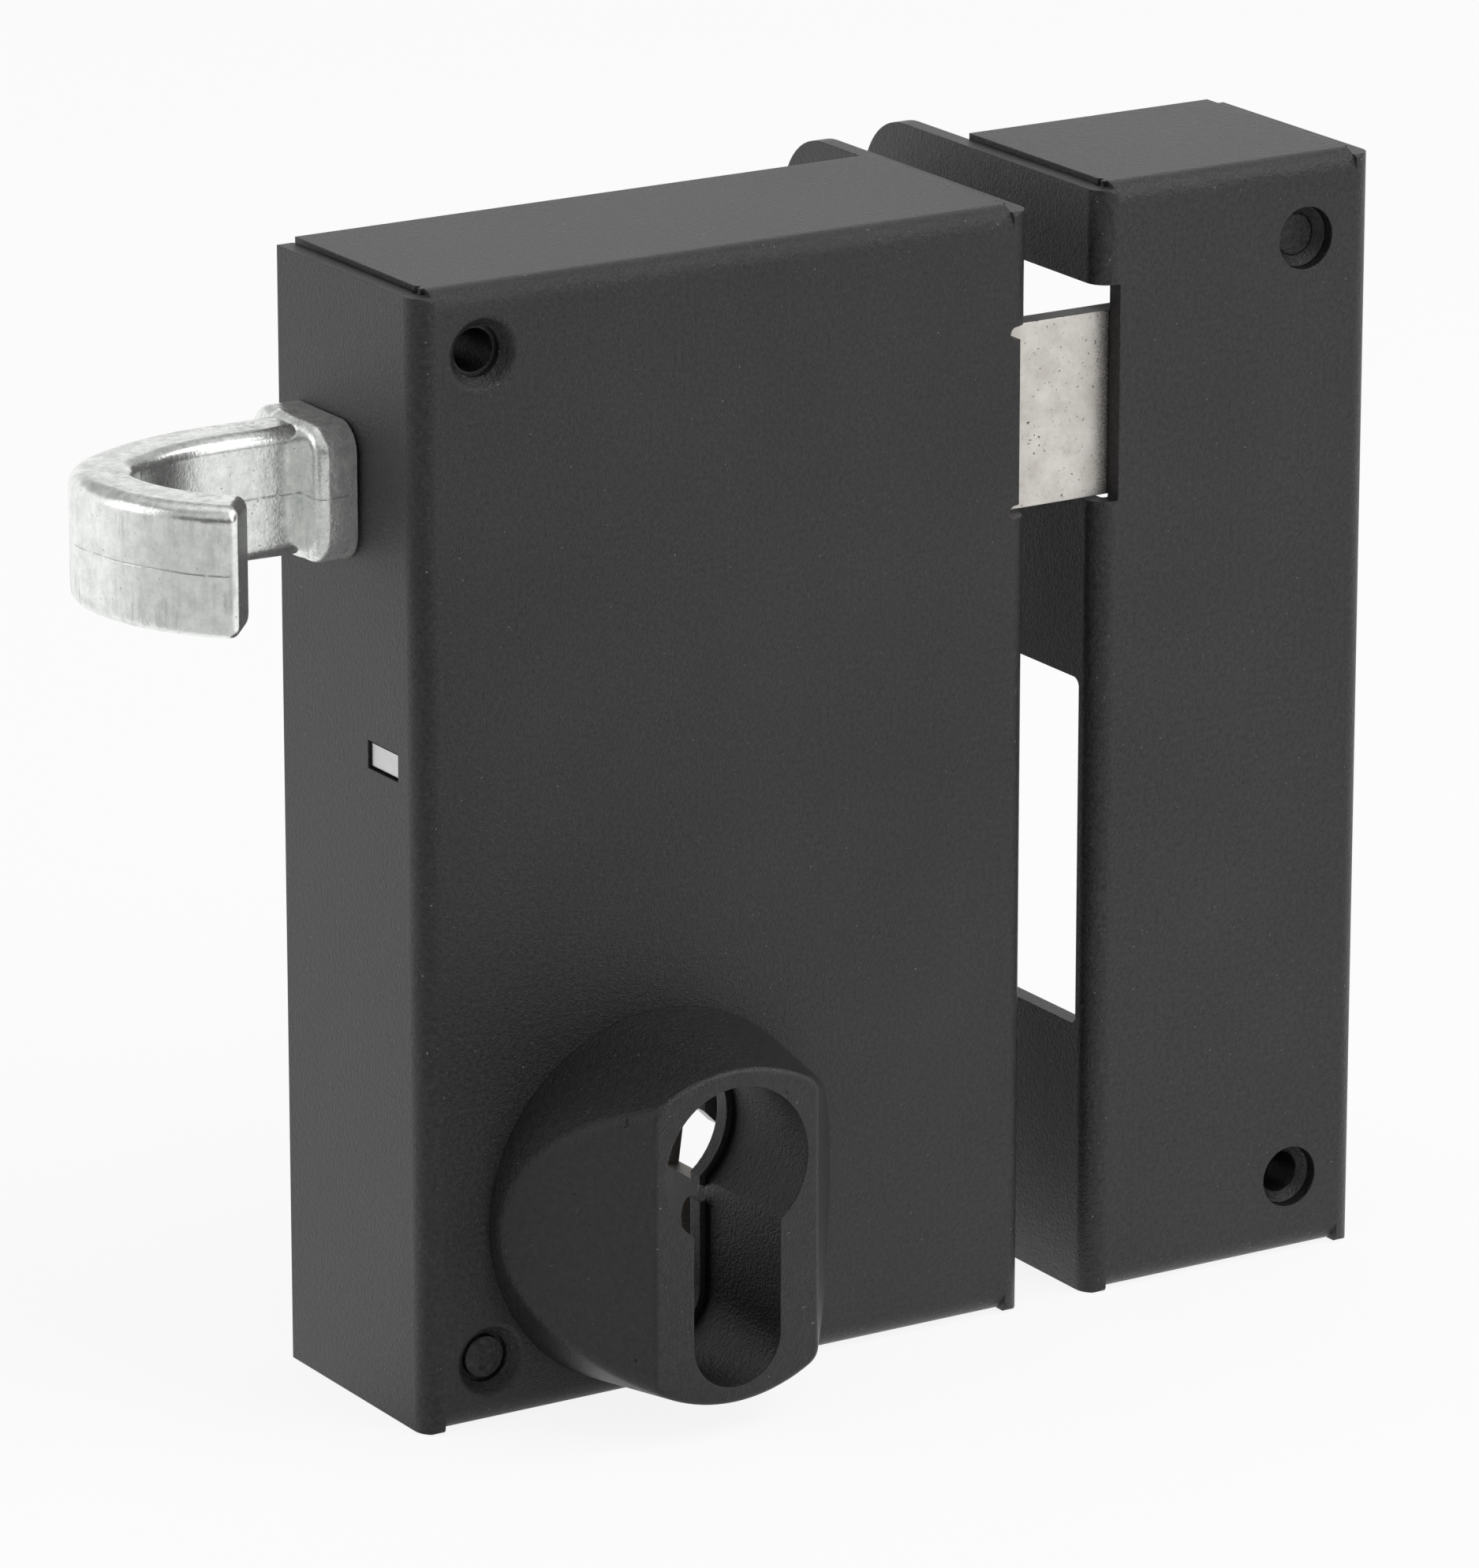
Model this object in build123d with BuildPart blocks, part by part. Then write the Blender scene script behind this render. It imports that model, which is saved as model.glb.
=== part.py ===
"""Rim lock for a door's inner face, with its keeper, latch closed and deadbolt drawn back.

The origin is on the cylinder's axis, in the plane of the case's front face.
X runs along the door towards the keeper, Y runs into the door and Z runs up.
"""

from build123d import *
import os
from math import atan2, degrees, hypot

os.makedirs("parts", exist_ok=True)

# Case of folded sheet
SHEET = 2.0
BEND_RADIUS = 2.4
SLIT = 0.2
END_STEP = 0.6
FLANGE_CORNER = 0.6
RELIEF_RADIUS = 0.45
RELIEF_SETBACK = 0.9
BACKSET = 45.0
CASE_WIDTH = 76.0
CASE_HEIGHT = 125.0
CASE_DEPTH = 29.0
AXIS_HEIGHT = 30.0
EDGE_DEPTH = 47.0
EDGE_CORNER = 8.0
LAP_SCREW_RADIUS = 2.3
LAP_SINK_RADIUS = 3.7
LAP_SCREW_LOW = -16.0
LAP_SCREW_HIGH = 50.0

# Fixing sleeves of the case
SLEEVE_SIDE_INSET = 8.0
SLEEVE_END_INSET = 7.2
SLEEVE_BORE = 2.35
SLEEVE_RADIUS = 4.8
SLEEVE_STUB = 3.9
SUNK_HOLE_RADIUS = 2.75
DIMPLE_RADIUS = 3.9
DIMPLE_SOFT_EDGE = 0.8
PLUG_RECESS = 1.4
PLUG_LENGTH = 5.0
PLUG_CLEARANCE = 0.05

# Back plate
BACK_THICKNESS = 2.0
BACK_CLEARANCE = 0.15
WINDOW_STUD_WALL = 4.0
WINDOW_RIGHT = 28.0
WINDOW_TOP = 12.5
WINDOW_RIM = 4.5
WINDOW_CORNER = 2.5
POST_RADIUS = 4.0
POST_SIDE_INSET = 8.0
POST_END_INSET = 7.2
SCREW_RADIUS = 2.0
THREAD_RADIUS = 1.65
THREAD_DEPTH = 10.0
SINK_HEAD_RADIUS = 3.6
STUD_RADIUS = 4.5
STUD_SPIGOT = 3.0
SPIGOT_CLEARANCE = 0.05

# Profile cylinder hole and its escutcheon
PROFILE_RADIUS = 8.6
PROFILE_SLOT = 5.2
PROFILE_HEIGHT = 33.2
PROFILE_NICK_RADIUS = 1.0
PROFILE_NICK_DROP = 2.0
ROSE_RADIUS = 21.0
ROSE_HEIGHT = 16.0
ROSE_DRAFT = 8.5
ROSE_HOLE_GAP = 0.2
ROSE_HOLE_DRAFT = 1.5
NOSE_HALF_WIDTH = 10.1
ROSE_RIM = 1.3
ROSE_SOFT_EDGE = 2.0
NOSE_SOFT_EDGE = 0.7
ROSE_SCREW_X = 14.0
ROSE_SCREW_REACH = 6.0
PAN_HEAD_RADIUS = 3.5
PAN_HEAD_HEIGHT = 2.4
PAN_HEAD_CROWN = 2.8

# Latch of bent plate
LATCH_DROP = 23.8
LATCH_HEIGHT = 20.5
LATCH_PLATE = 2.6
LATCH_FRONT_GAP = 0.4
LATCH_PROJECTION = 13.8
LATCH_TRAVEL = 13.8
LATCH_NOSE_FLAT = 0.2
LATCH_WINDOW_DEPTH = 7.2
LATCH_WINDOW_BITE = 1.3
LATCH_WINDOW_GAP = 0.4
NOTCH_REACH = 2.7
NOTCH_HEIGHT = 1.5
FOOT_BACK_GAP = 3.0
FOOT_HEIGHT = 14.0
FOOT_BEND = 3.0
GUIDE_INSET = 19.0
JOURNAL_RADIUS = 2.5
SLOT_CLEARANCE = 0.3
SIDE_PLAY = 0.25

# Pull handle, cast in one with its shank
SHANK_LENGTH = 23.0
SHANK_SETBACK = 9.6
SHANK_RADIUS = 4.0
SHANK_CLEARANCE = 0.1
COLLAR_GAP = 0.3
COLLAR_THICKNESS = 4.6
COLLAR_SIZE = 15.0
COLLAR_CORNER = 3.2
COLLAR_SOFT_EDGE = 1.3
HOOK_WIDTH = 6.8
HOOK_HEIGHT = 14.0
HOOK_SOFT_EDGE = 1.7
HOOK_ARM = 8.6
HOOK_SWEEP_RADIUS = 26.0
HOOK_SWEEP_ANGLE = 32.0
HOOK_CURL_RADIUS = 8.2
HOOK_CURL_ANGLE = 60.0
HOOK_END_RADIUS = 20.0
HOOK_END_ANGLE = 48.0
HOOK_TIP_EDGE = 1.2

# Latch spring on the shank
SPRING_WIRE = 0.45
SPRING_RADIUS = 5.1
SPRING_TURNS = 6
SPRING_SEAT_GAP = 0.1

# Lever that draws the latch back when the cam turns past the deadbolt
LEVER_INSET = 8.5
LEVER_Z = -6.0
LEVER_FRONT = 8.0
LEVER_PLATE = 2.5
LEVER_BOSS = 5.5
LEVER_END = 4.8
LEVER_BORE_GAP = 0.05
LEVER_ARM = 3.6
FINGER_REACH = 8.9
FINGER_RISE = 14.0
FINGER_TIP = 2.2
FINGER_ROOT_REACH = 4.0
FINGER_ROOT_RISE = 10.5
FINGER_ROOT = 3.5
PIN_INSET = 10.0
PIN_DROP = 5.7
PIN_RADIUS = 2.0
PIN_SPIGOT = 1.5
FORK_GAP = 0.45
FORK_BELOW = 3.5
FORK_ABOVE = 4.5

# Shelf bracket with a tab in the side of the case
SHELF_RISE = 8.0
SHELF_PLATE = 2.5
SHELF_FRONT = 4.8
SHELF_LENGTH = 36.7
SHELF_FOOT = 11.0
SHELF_BEND = 1.0
TAB_DEPTH = 5.7
TAB_CLEARANCE = 0.3
TAB_RECESS = 0.3
SHELF_SIDE_GAP = 0.3
LEVER_SLOT_END = 2.2
LEVER_SLOT_GAP = 0.6
SHELF_RIVET_RISE = 7.0
SHELF_RIVET_INSET = 7.0
RIVET_RADIUS = 1.95
RIVET_HOLE_GAP = 0.05
RIVET_HEAD_RADIUS = 3.2
RIVET_HEAD_HEIGHT = 1.3

# Bracket beside the cylinder
CHEEK_X = 10.9
CHEEK_PLATE = 1.9
CHEEK_FRONT = 5.0
CHEEK_BACK_GAP = 2.0
CHEEK_TOP = -11.5
CHEEK_EAR_TOP = -4.0
CHEEK_EAR_FRONT = 16.8
CHEEK_EAR_SLANT = 1.5
CHEEK_FOOT = 13.0
CHEEK_BEND = 1.0
CHEEK_HOLE_DEPTH = 10.0
CHEEK_HOLE_Z = -16.5
CHEEK_HOLE_RADIUS = 3.2
CHEEK_RIVET_INSET = 7.8
CHEEK_RIVET_END = 5.0

# Deadbolt: head, tail plate and what guides them
DEADBOLT_LENGTH = 27.0
DEADBOLT_HEIGHT = 35.0
DEADBOLT_CENTRE = 20.5
DEADBOLT_FRONT = 6.2
DEADBOLT_THICKNESS = 14.0
DEADBOLT_THROW = 17.0
DEADBOLT_INSET = 1.0
DEADBOLT_CHAMFER = 1.0
DEADBOLT_WINDOW_GAP = 0.3
TAIL_PLATE = 2.4
TAIL_FRONT = 13.5
TAIL_GROOVE_GAP = 0.05
TAIL_GRIP = 10.0
TAIL_STEP = 3.0
TAIL_TOP = 34.0
TAIL_LIP = 9.6
TAIL_DROP = -7.0
TAIL_LUG = 5.0
TAIL_CORNER = 2.0
TAIL_HOOK = 2.4
CAM_NOTCH_LEFT = -16.6
CAM_NOTCH_RIGHT = -8.6
CAM_RADIUS = 13.2
CAM_CLEARANCE = 1.0
BOLT_RIVET_INSET = 5.0
BOLT_RIVET_SPREAD = 9.0
BOLT_STUD_X = 4.0
BOLT_STUD_Z = 24.0
STUD_HEAD_RADIUS = 4.2
STUD_HEAD_HEIGHT = 1.3

# Click spring that rests in the tail's notches
CLICK_X = 5.0
CLICK_STRIP = 0.6
CLICK_WIDTH = 4.0
CLICK_BUMP = 1.7
CLICK_CLEARANCE = 0.15
CLICK_SIDE_GAP = 2.0
CLICK_FLAT = 11.0
CLICK_RISE = 1.6
CLICK_RIVET_INSET = 3.0
CLICK_RIVET_RADIUS = 1.5
CLICK_HEAD_RADIUS = 2.2
CLICK_HEAD_HEIGHT = 0.8

# Keeper on the frame
KEEPER_GAP = 8.6
KEEPER_WIDTH = 36.0
KEEPER_HEIGHT = 126.0
KEEPER_DROP = 0.2
KEEPER_INSET = 9.0
KEEPER_RECESS_RADIUS = 3.5
KEEPER_SLEEVE_RADIUS = 5.2
KEEPER_SLEEVE_BORE = 2.35
KEEPER_STUB_RECESS = 1.2
KEEPER_STUB_GAP = 0.05
KEEPER_STUB_RIM = 0.15
KEEPER_WINDOW_DEPTH = 23.0
KEEPER_ABOVE_LATCH = 3.35
KEEPER_BELOW_LATCH = 0.25
KEEPER_UPPER_BITE = 2.75
KEEPER_ABOVE_BOLT = 2.3
KEEPER_BELOW_BOLT = 2.4
KEEPER_LOWER_FRONT = 3.1
KEEPER_WINDOW_CORNER = 1.0
KEEPER_PLUG_RECESS = 2.2

# Places that follow from the sizes
RIGHT = BACKSET + SHEET
LEFT = RIGHT - CASE_WIDTH
BOTTOM = -AXIS_HEIGHT
TOP = BOTTOM + CASE_HEIGHT
MIDDLE = (TOP + BOTTOM) / 2
RELIEF_DEPTH = BEND_RADIUS + RELIEF_SETBACK
BACK_FRONT = CASE_DEPTH - BACK_THICKNESS
SLEEVE_X = LEFT + SLEEVE_SIDE_INSET
SLEEVE_TOP = TOP - SLEEVE_END_INSET
SLEEVE_BOTTOM = BOTTOM + SLEEVE_END_INSET
POST_X = RIGHT - POST_SIDE_INSET
POST_TOP = TOP - POST_END_INSET
POST_BOTTOM = BOTTOM + POST_END_INSET
PROFILE_LOW = PROFILE_RADIUS - PROFILE_HEIGHT + PROFILE_SLOT
PROFILE_WAIST = -((PROFILE_RADIUS**2 - PROFILE_SLOT**2) ** 0.5)
ROSE_Z = PROFILE_RADIUS - PROFILE_HEIGHT / 2
LAP_SCREW_Y = (CASE_DEPTH + EDGE_DEPTH) / 2
LATCH_CENTRE = TOP - LATCH_DROP
LATCH_FRONT = SHEET + LATCH_FRONT_GAP
LATCH_BACK = LATCH_FRONT + LATCH_PLATE
LATCH_TIP = RIGHT + LATCH_PROJECTION
LATCH_LOW = LATCH_CENTRE - LATCH_HEIGHT / 2
LATCH_HIGH = LATCH_CENTRE + LATCH_HEIGHT / 2
SHANK_DEPTH = CASE_DEPTH - SHANK_SETBACK
FOOT_X = LEFT + SHANK_LENGTH
FOOT_DEPTH = BACK_FRONT - FOOT_BACK_GAP
GUIDE_X = RIGHT - GUIDE_INSET
LEVER_X = LEFT + LEVER_INSET
PIN_X = FOOT_X + PIN_INSET
PIN_Z = LATCH_CENTRE - PIN_DROP
WINDOW_LEFT = LEVER_X + STUD_RADIUS + WINDOW_STUD_WALL
WINDOW_BOTTOM = BOTTOM + WINDOW_RIM
DEADBOLT_LOW = DEADBOLT_CENTRE - DEADBOLT_HEIGHT / 2
DEADBOLT_HIGH = DEADBOLT_CENTRE + DEADBOLT_HEIGHT / 2
DEADBOLT_TIP = RIGHT - DEADBOLT_INSET
DEADBOLT_ROOT = DEADBOLT_TIP - DEADBOLT_LENGTH
BOLT_RIVET_X = DEADBOLT_ROOT + BOLT_RIVET_INSET
TAIL_BACK = TAIL_FRONT + TAIL_PLATE
TAIL_LEFT = CAM_NOTCH_LEFT - TAIL_HOOK
CAM_NOTCH_TOP = CAM_RADIUS + CAM_CLEARANCE
SHELF_Z = TAIL_TOP + SHELF_RISE
SHELF_LEFT = LEFT + SHEET + SHELF_SIDE_GAP
SHELF_RIGHT = SHELF_LEFT + SHELF_LENGTH
SHELF_RIVET_LEFT = SHELF_LEFT + SHELF_RIVET_INSET
SHELF_RIVET_RIGHT = SHELF_RIGHT - SHELF_RIVET_INSET
SHELF_SHARE = (SHELF_Z - LEVER_Z) / (PIN_Z - LEVER_Z)
LEVER_SLOT_RIGHT = LEVER_X + (PIN_X - LEVER_X) * SHELF_SHARE + LEVER_ARM + LEVER_SLOT_END
LEVER_SLOT_LEFT = LEVER_SLOT_RIGHT - LATCH_TRAVEL * SHELF_SHARE - 2 * (LEVER_ARM + LEVER_SLOT_END)
CLICK_ROOT_X = LEFT + SHEET + CLICK_SIDE_GAP
CLICK_BEND_X = CLICK_ROOT_X + CLICK_FLAT
CLICK_RIVET_X = CLICK_ROOT_X + CLICK_RIVET_INSET
CHEEK_BACK = BACK_FRONT - CHEEK_BACK_GAP
CHEEK_RIVET_FRONT = CHEEK_FRONT + CHEEK_RIVET_END
CHEEK_RIVET_BACK = CHEEK_BACK - CHEEK_RIVET_END
KEEPER_LEFT = RIGHT + KEEPER_GAP
KEEPER_RIGHT = KEEPER_LEFT + KEEPER_WIDTH
KEEPER_BOTTOM = BOTTOM - KEEPER_DROP
KEEPER_TOP = KEEPER_BOTTOM + KEEPER_HEIGHT
KEEPER_X = KEEPER_RIGHT - KEEPER_INSET
KEEPER_STUB_RADIUS = KEEPER_RECESS_RADIUS - KEEPER_STUB_GAP
KEEPER_UPPER_TOP = LATCH_HIGH + KEEPER_ABOVE_LATCH
KEEPER_UPPER_BOTTOM = LATCH_LOW - KEEPER_BELOW_LATCH
KEEPER_LOWER_TOP = DEADBOLT_HIGH + KEEPER_ABOVE_BOLT
KEEPER_LOWER_BOTTOM = DEADBOLT_LOW - KEEPER_BELOW_BOLT


def facing(y):
    """The upright plane at depth y that faces the room, X to the right and Z up."""
    return Plane.XZ.offset(-y)


def box_points(left, right, bottom, top):
    """The corners of an upright rectangle, in order."""
    return (left, bottom), (right, bottom), (right, top), (left, top)


def rows(x, *heights):
    """Places one above the other, on the front face."""
    return [(x, 0, z) for z in heights]


# Case cover: a channel whose right side runs on past the back as the edge plate,
# with the top and bottom folded in between its sides; slits with relief holes part them
with BuildPart() as case_cover:
    with BuildSketch(Plane.XY.offset(BOTTOM)):
        with BuildLine():
            FilletPolyline(
                (LEFT + SHEET / 2, CASE_DEPTH),
                (LEFT + SHEET / 2, SHEET / 2),
                (RIGHT - SHEET / 2, SHEET / 2),
                (RIGHT - SHEET / 2, EDGE_DEPTH),
                radius=BEND_RADIUS - SHEET / 2,
            )
        trace(line_width=SHEET)
    extrude(amount=CASE_HEIGHT)
    with BuildSketch(Plane.YZ.offset(LEFT)) as side_outline:
        with BuildLine():
            Polyline(*box_points(0, EDGE_DEPTH, BOTTOM, TOP - END_STEP), close=True)
        make_face()
        fillet(side_outline.vertices().group_by(Axis.X)[0], radius=FLANGE_CORNER)
        fillet(side_outline.vertices().group_by(Axis.X)[-1], radius=EDGE_CORNER)
    extrude(amount=CASE_WIDTH, mode=Mode.INTERSECT)
    with BuildSketch(Plane.YZ.offset(LEFT + BEND_RADIUS)):
        with Locations((BEND_RADIUS / 2, MIDDLE)):
            Rectangle(BEND_RADIUS, CASE_HEIGHT)
            Rectangle(BEND_RADIUS, CASE_HEIGHT - 2 * BEND_RADIUS, mode=Mode.SUBTRACT)
    extrude(amount=CASE_WIDTH - 2 * BEND_RADIUS, mode=Mode.SUBTRACT)
    with BuildSketch(Plane.YZ.offset(LEFT + BEND_RADIUS)):
        with BuildLine():
            FilletPolyline(
                (CASE_DEPTH, TOP - SHEET / 2),
                (SHEET / 2, TOP - SHEET / 2),
                (SHEET / 2, BOTTOM + SHEET / 2),
                (CASE_DEPTH, BOTTOM + SHEET / 2),
                radius=BEND_RADIUS - SHEET / 2,
            )
        trace(line_width=SHEET)
    extrude(amount=CASE_WIDTH - 2 * BEND_RADIUS)
    for height in (BOTTOM, TOP - SHEET):
        with BuildSketch(Plane.XY.offset(height)):
            with Locations(((LEFT + RIGHT) / 2, (BEND_RADIUS + CASE_DEPTH) / 2)):
                Rectangle(CASE_WIDTH - 2 * SHEET, CASE_DEPTH - BEND_RADIUS)
        extrude(amount=SHEET)
        with BuildSketch(Plane.XY.offset(height)):
            for side in (LEFT + SHEET + SLIT / 2, RIGHT - SHEET - SLIT / 2):
                with Locations((side, (RELIEF_DEPTH + CASE_DEPTH) / 2)):
                    Rectangle(SLIT, CASE_DEPTH - RELIEF_DEPTH)
                with Locations((side, RELIEF_DEPTH)):
                    Circle(RELIEF_RADIUS)
        extrude(amount=SHEET, mode=Mode.SUBTRACT)
    # Profile cylinder hole, nicked under its waist, and the escutcheon's two screw holes
    with BuildSketch(facing(0)):
        Circle(PROFILE_RADIUS)
        with Locations((0, PROFILE_LOW / 2)):
            SlotCenterToCenter(-PROFILE_LOW, 2 * PROFILE_SLOT, rotation=90)
        with Locations(
            (-PROFILE_SLOT, PROFILE_WAIST - PROFILE_NICK_DROP),
            (PROFILE_SLOT, PROFILE_WAIST - PROFILE_NICK_DROP),
        ):
            Circle(PROFILE_NICK_RADIUS)
        with Locations((-ROSE_SCREW_X, ROSE_Z), (ROSE_SCREW_X, ROSE_Z)):
            Circle(SCREW_RADIUS + RIVET_HOLE_GAP)
    extrude(amount=-SHEET, mode=Mode.SUBTRACT)
    # Sunk screw holes on the left
    for spot in rows(SLEEVE_X, SLEEVE_BOTTOM, SLEEVE_TOP):
        with Locations(Plane(spot, z_dir=(0, -1, 0))):
            CounterSinkHole(SUNK_HOLE_RADIUS, DIMPLE_RADIUS, depth=SHEET)
    sinks = case_cover.faces().filter_by(GeomType.CONE)
    fillet(sinks.edges().filter_by(GeomType.CIRCLE).group_by(Axis.Y)[0], radius=DIMPLE_SOFT_EDGE)
    # Latch window, cut through the bend, with a small notch at each end
    with BuildSketch(facing(SHEET)):
        with Locations((RIGHT - SHEET / 2, LATCH_CENTRE)):
            Rectangle(SHEET, LATCH_HEIGHT + 2 * LATCH_WINDOW_GAP)
    extrude(amount=-(LATCH_WINDOW_DEPTH - SHEET), mode=Mode.SUBTRACT)
    with BuildSketch(facing(0)):
        with Locations((RIGHT - LATCH_WINDOW_BITE / 2, LATCH_CENTRE)):
            Rectangle(LATCH_WINDOW_BITE, LATCH_HEIGHT + 2 * LATCH_WINDOW_GAP)
        with Locations(
            (RIGHT, LATCH_LOW - LATCH_WINDOW_GAP + NOTCH_HEIGHT / 2),
            (RIGHT, LATCH_HIGH + LATCH_WINDOW_GAP - NOTCH_HEIGHT / 2),
        ):
            SlotOverall(2 * NOTCH_REACH, NOTCH_HEIGHT)
    extrude(amount=-SHEET, mode=Mode.SUBTRACT)
    # Deadbolt window
    with BuildSketch(Plane.YZ.offset(RIGHT)):
        with Locations((DEADBOLT_FRONT + DEADBOLT_THICKNESS / 2, DEADBOLT_CENTRE)):
            Rectangle(
                DEADBOLT_THICKNESS + 2 * DEADBOLT_WINDOW_GAP,
                DEADBOLT_HEIGHT + 2 * DEADBOLT_WINDOW_GAP,
            )
    extrude(amount=-SHEET, mode=Mode.SUBTRACT)
    # Sunk screw holes where the edge plate laps the door's edge
    for height in (LAP_SCREW_LOW, LAP_SCREW_HIGH):
        with Locations(Plane((RIGHT, LAP_SCREW_Y, height), z_dir=(1, 0, 0))):
            CounterSinkHole(LAP_SCREW_RADIUS, LAP_SINK_RADIUS, depth=SHEET)
    # Shank hole and the slot for the shelf's tab
    with BuildSketch(Plane.YZ.offset(LEFT)):
        with Locations((SHANK_DEPTH, LATCH_CENTRE)):
            Circle(SHANK_RADIUS + SHANK_CLEARANCE)
        with Locations((SHELF_FRONT + TAB_DEPTH / 2, SHELF_Z + SHELF_PLATE / 2)):
            Rectangle(TAB_DEPTH + 2 * TAB_CLEARANCE, SHELF_PLATE + 2 * TAB_CLEARANCE)
    extrude(amount=SHEET, mode=Mode.SUBTRACT)
    # Rivet holes under the cylinder's bracket
    with BuildSketch(Plane.XY.offset(BOTTOM)):
        with Locations(
            (CHEEK_X + CHEEK_RIVET_INSET, CHEEK_RIVET_FRONT),
            (CHEEK_X + CHEEK_RIVET_INSET, CHEEK_RIVET_BACK),
        ):
            Circle(RIVET_RADIUS + RIVET_HOLE_GAP)
    extrude(amount=SHEET, mode=Mode.SUBTRACT)
case_cover.part.label = "case_cover"

# Back plate inside the flanges, with the cylinder's window
with BuildPart() as back_plate:
    with BuildSketch(facing(CASE_DEPTH)) as plate_outline:
        with Locations(((LEFT + RIGHT) / 2, MIDDLE)):
            Rectangle(
                CASE_WIDTH - 2 * (SHEET + BACK_CLEARANCE),
                CASE_HEIGHT - 2 * (SHEET + BACK_CLEARANCE),
            )
    extrude(amount=BACK_THICKNESS)
    with BuildSketch(facing(CASE_DEPTH)) as window:
        with BuildLine():
            Polyline(
                *box_points(WINDOW_LEFT, WINDOW_RIGHT, WINDOW_BOTTOM, WINDOW_TOP), close=True
            )
        make_face()
        chamfer(window.vertices(), length=WINDOW_CORNER)
        with Locations((SLEEVE_X, SLEEVE_TOP), (SLEEVE_X, SLEEVE_BOTTOM)):
            Circle(SLEEVE_STUB + SPIGOT_CLEARANCE)
        with Locations((GUIDE_X, LATCH_CENTRE), (BOLT_STUD_X, BOLT_STUD_Z), (LEVER_X, LEVER_Z)):
            Circle(STUD_SPIGOT + SPIGOT_CLEARANCE)
        with Locations(
            (SHELF_RIVET_LEFT, SHELF_Z + SHELF_RIVET_RISE),
            (SHELF_RIVET_RIGHT, SHELF_Z + SHELF_RIVET_RISE),
        ):
            Circle(RIVET_RADIUS + RIVET_HOLE_GAP)
    extrude(amount=BACK_THICKNESS, mode=Mode.SUBTRACT)
    for height in (POST_TOP, POST_BOTTOM):
        with Locations(Plane((POST_X, CASE_DEPTH, height), z_dir=(0, 1, 0))):
            CounterSinkHole(SCREW_RADIUS + RIVET_HOLE_GAP, SINK_HEAD_RADIUS, depth=BACK_THICKNESS)
back_plate.part.label = "back_plate"

# Sleeves that carry the case's fixing screws through to the door
with BuildPart() as case_sleeves:
    for height in (SLEEVE_BOTTOM, SLEEVE_TOP):
        with BuildSketch(facing(SHEET)):
            with Locations((SLEEVE_X, height)):
                Circle(SLEEVE_RADIUS)
        extrude(amount=-(BACK_FRONT - SHEET))
        with BuildSketch(facing(BACK_FRONT)):
            with Locations((SLEEVE_X, height)):
                Circle(SLEEVE_STUB)
        extrude(amount=-BACK_THICKNESS)
        with Locations(Plane((SLEEVE_X, SHEET, height), z_dir=(0, -1, 0))):
            Hole(SLEEVE_BORE, depth=CASE_DEPTH)
case_sleeves.part.label = "case_sleeves"

# Plug that closes the lower sleeve, a little below the cover's face
with BuildPart() as case_plug:
    with BuildSketch(facing(PLUG_RECESS)):
        with Locations((SLEEVE_X, SLEEVE_BOTTOM)):
            Circle(SLEEVE_BORE - PLUG_CLEARANCE)
    extrude(amount=-PLUG_LENGTH)
case_plug.part.label = "case_plug"

# Tapped posts welded behind the cover, for the back plate's screws
with BuildPart() as cover_posts:
    for height in (POST_BOTTOM, POST_TOP):
        with BuildSketch(facing(SHEET)):
            with Locations((POST_X, height)):
                Circle(POST_RADIUS)
        extrude(amount=-(BACK_FRONT - SHEET))
        with Locations(Plane((POST_X, BACK_FRONT, height), z_dir=(0, 1, 0))):
            Hole(THREAD_RADIUS, depth=THREAD_DEPTH)
cover_posts.part.label = "cover_posts"

# Sunk screws that hold the back plate
with BuildPart() as sunk_screw:
    with BuildSketch(Plane.XY):
        with BuildLine():
            Polyline(
                (0, 0),
                (SINK_HEAD_RADIUS, 0),
                (THREAD_RADIUS, THREAD_RADIUS - SINK_HEAD_RADIUS),
                (THREAD_RADIUS, -THREAD_DEPTH + BACK_THICKNESS),
                (0, -THREAD_DEPTH + BACK_THICKNESS),
                close=True,
            )
        make_face()
    revolve(axis=Axis.Y)
with BuildPart() as back_plate_screws:
    with Locations((POST_X, CASE_DEPTH, POST_BOTTOM), (POST_X, CASE_DEPTH, POST_TOP)):
        add(sunk_screw.part)
back_plate_screws.part.label = "back_plate_screws"

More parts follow.
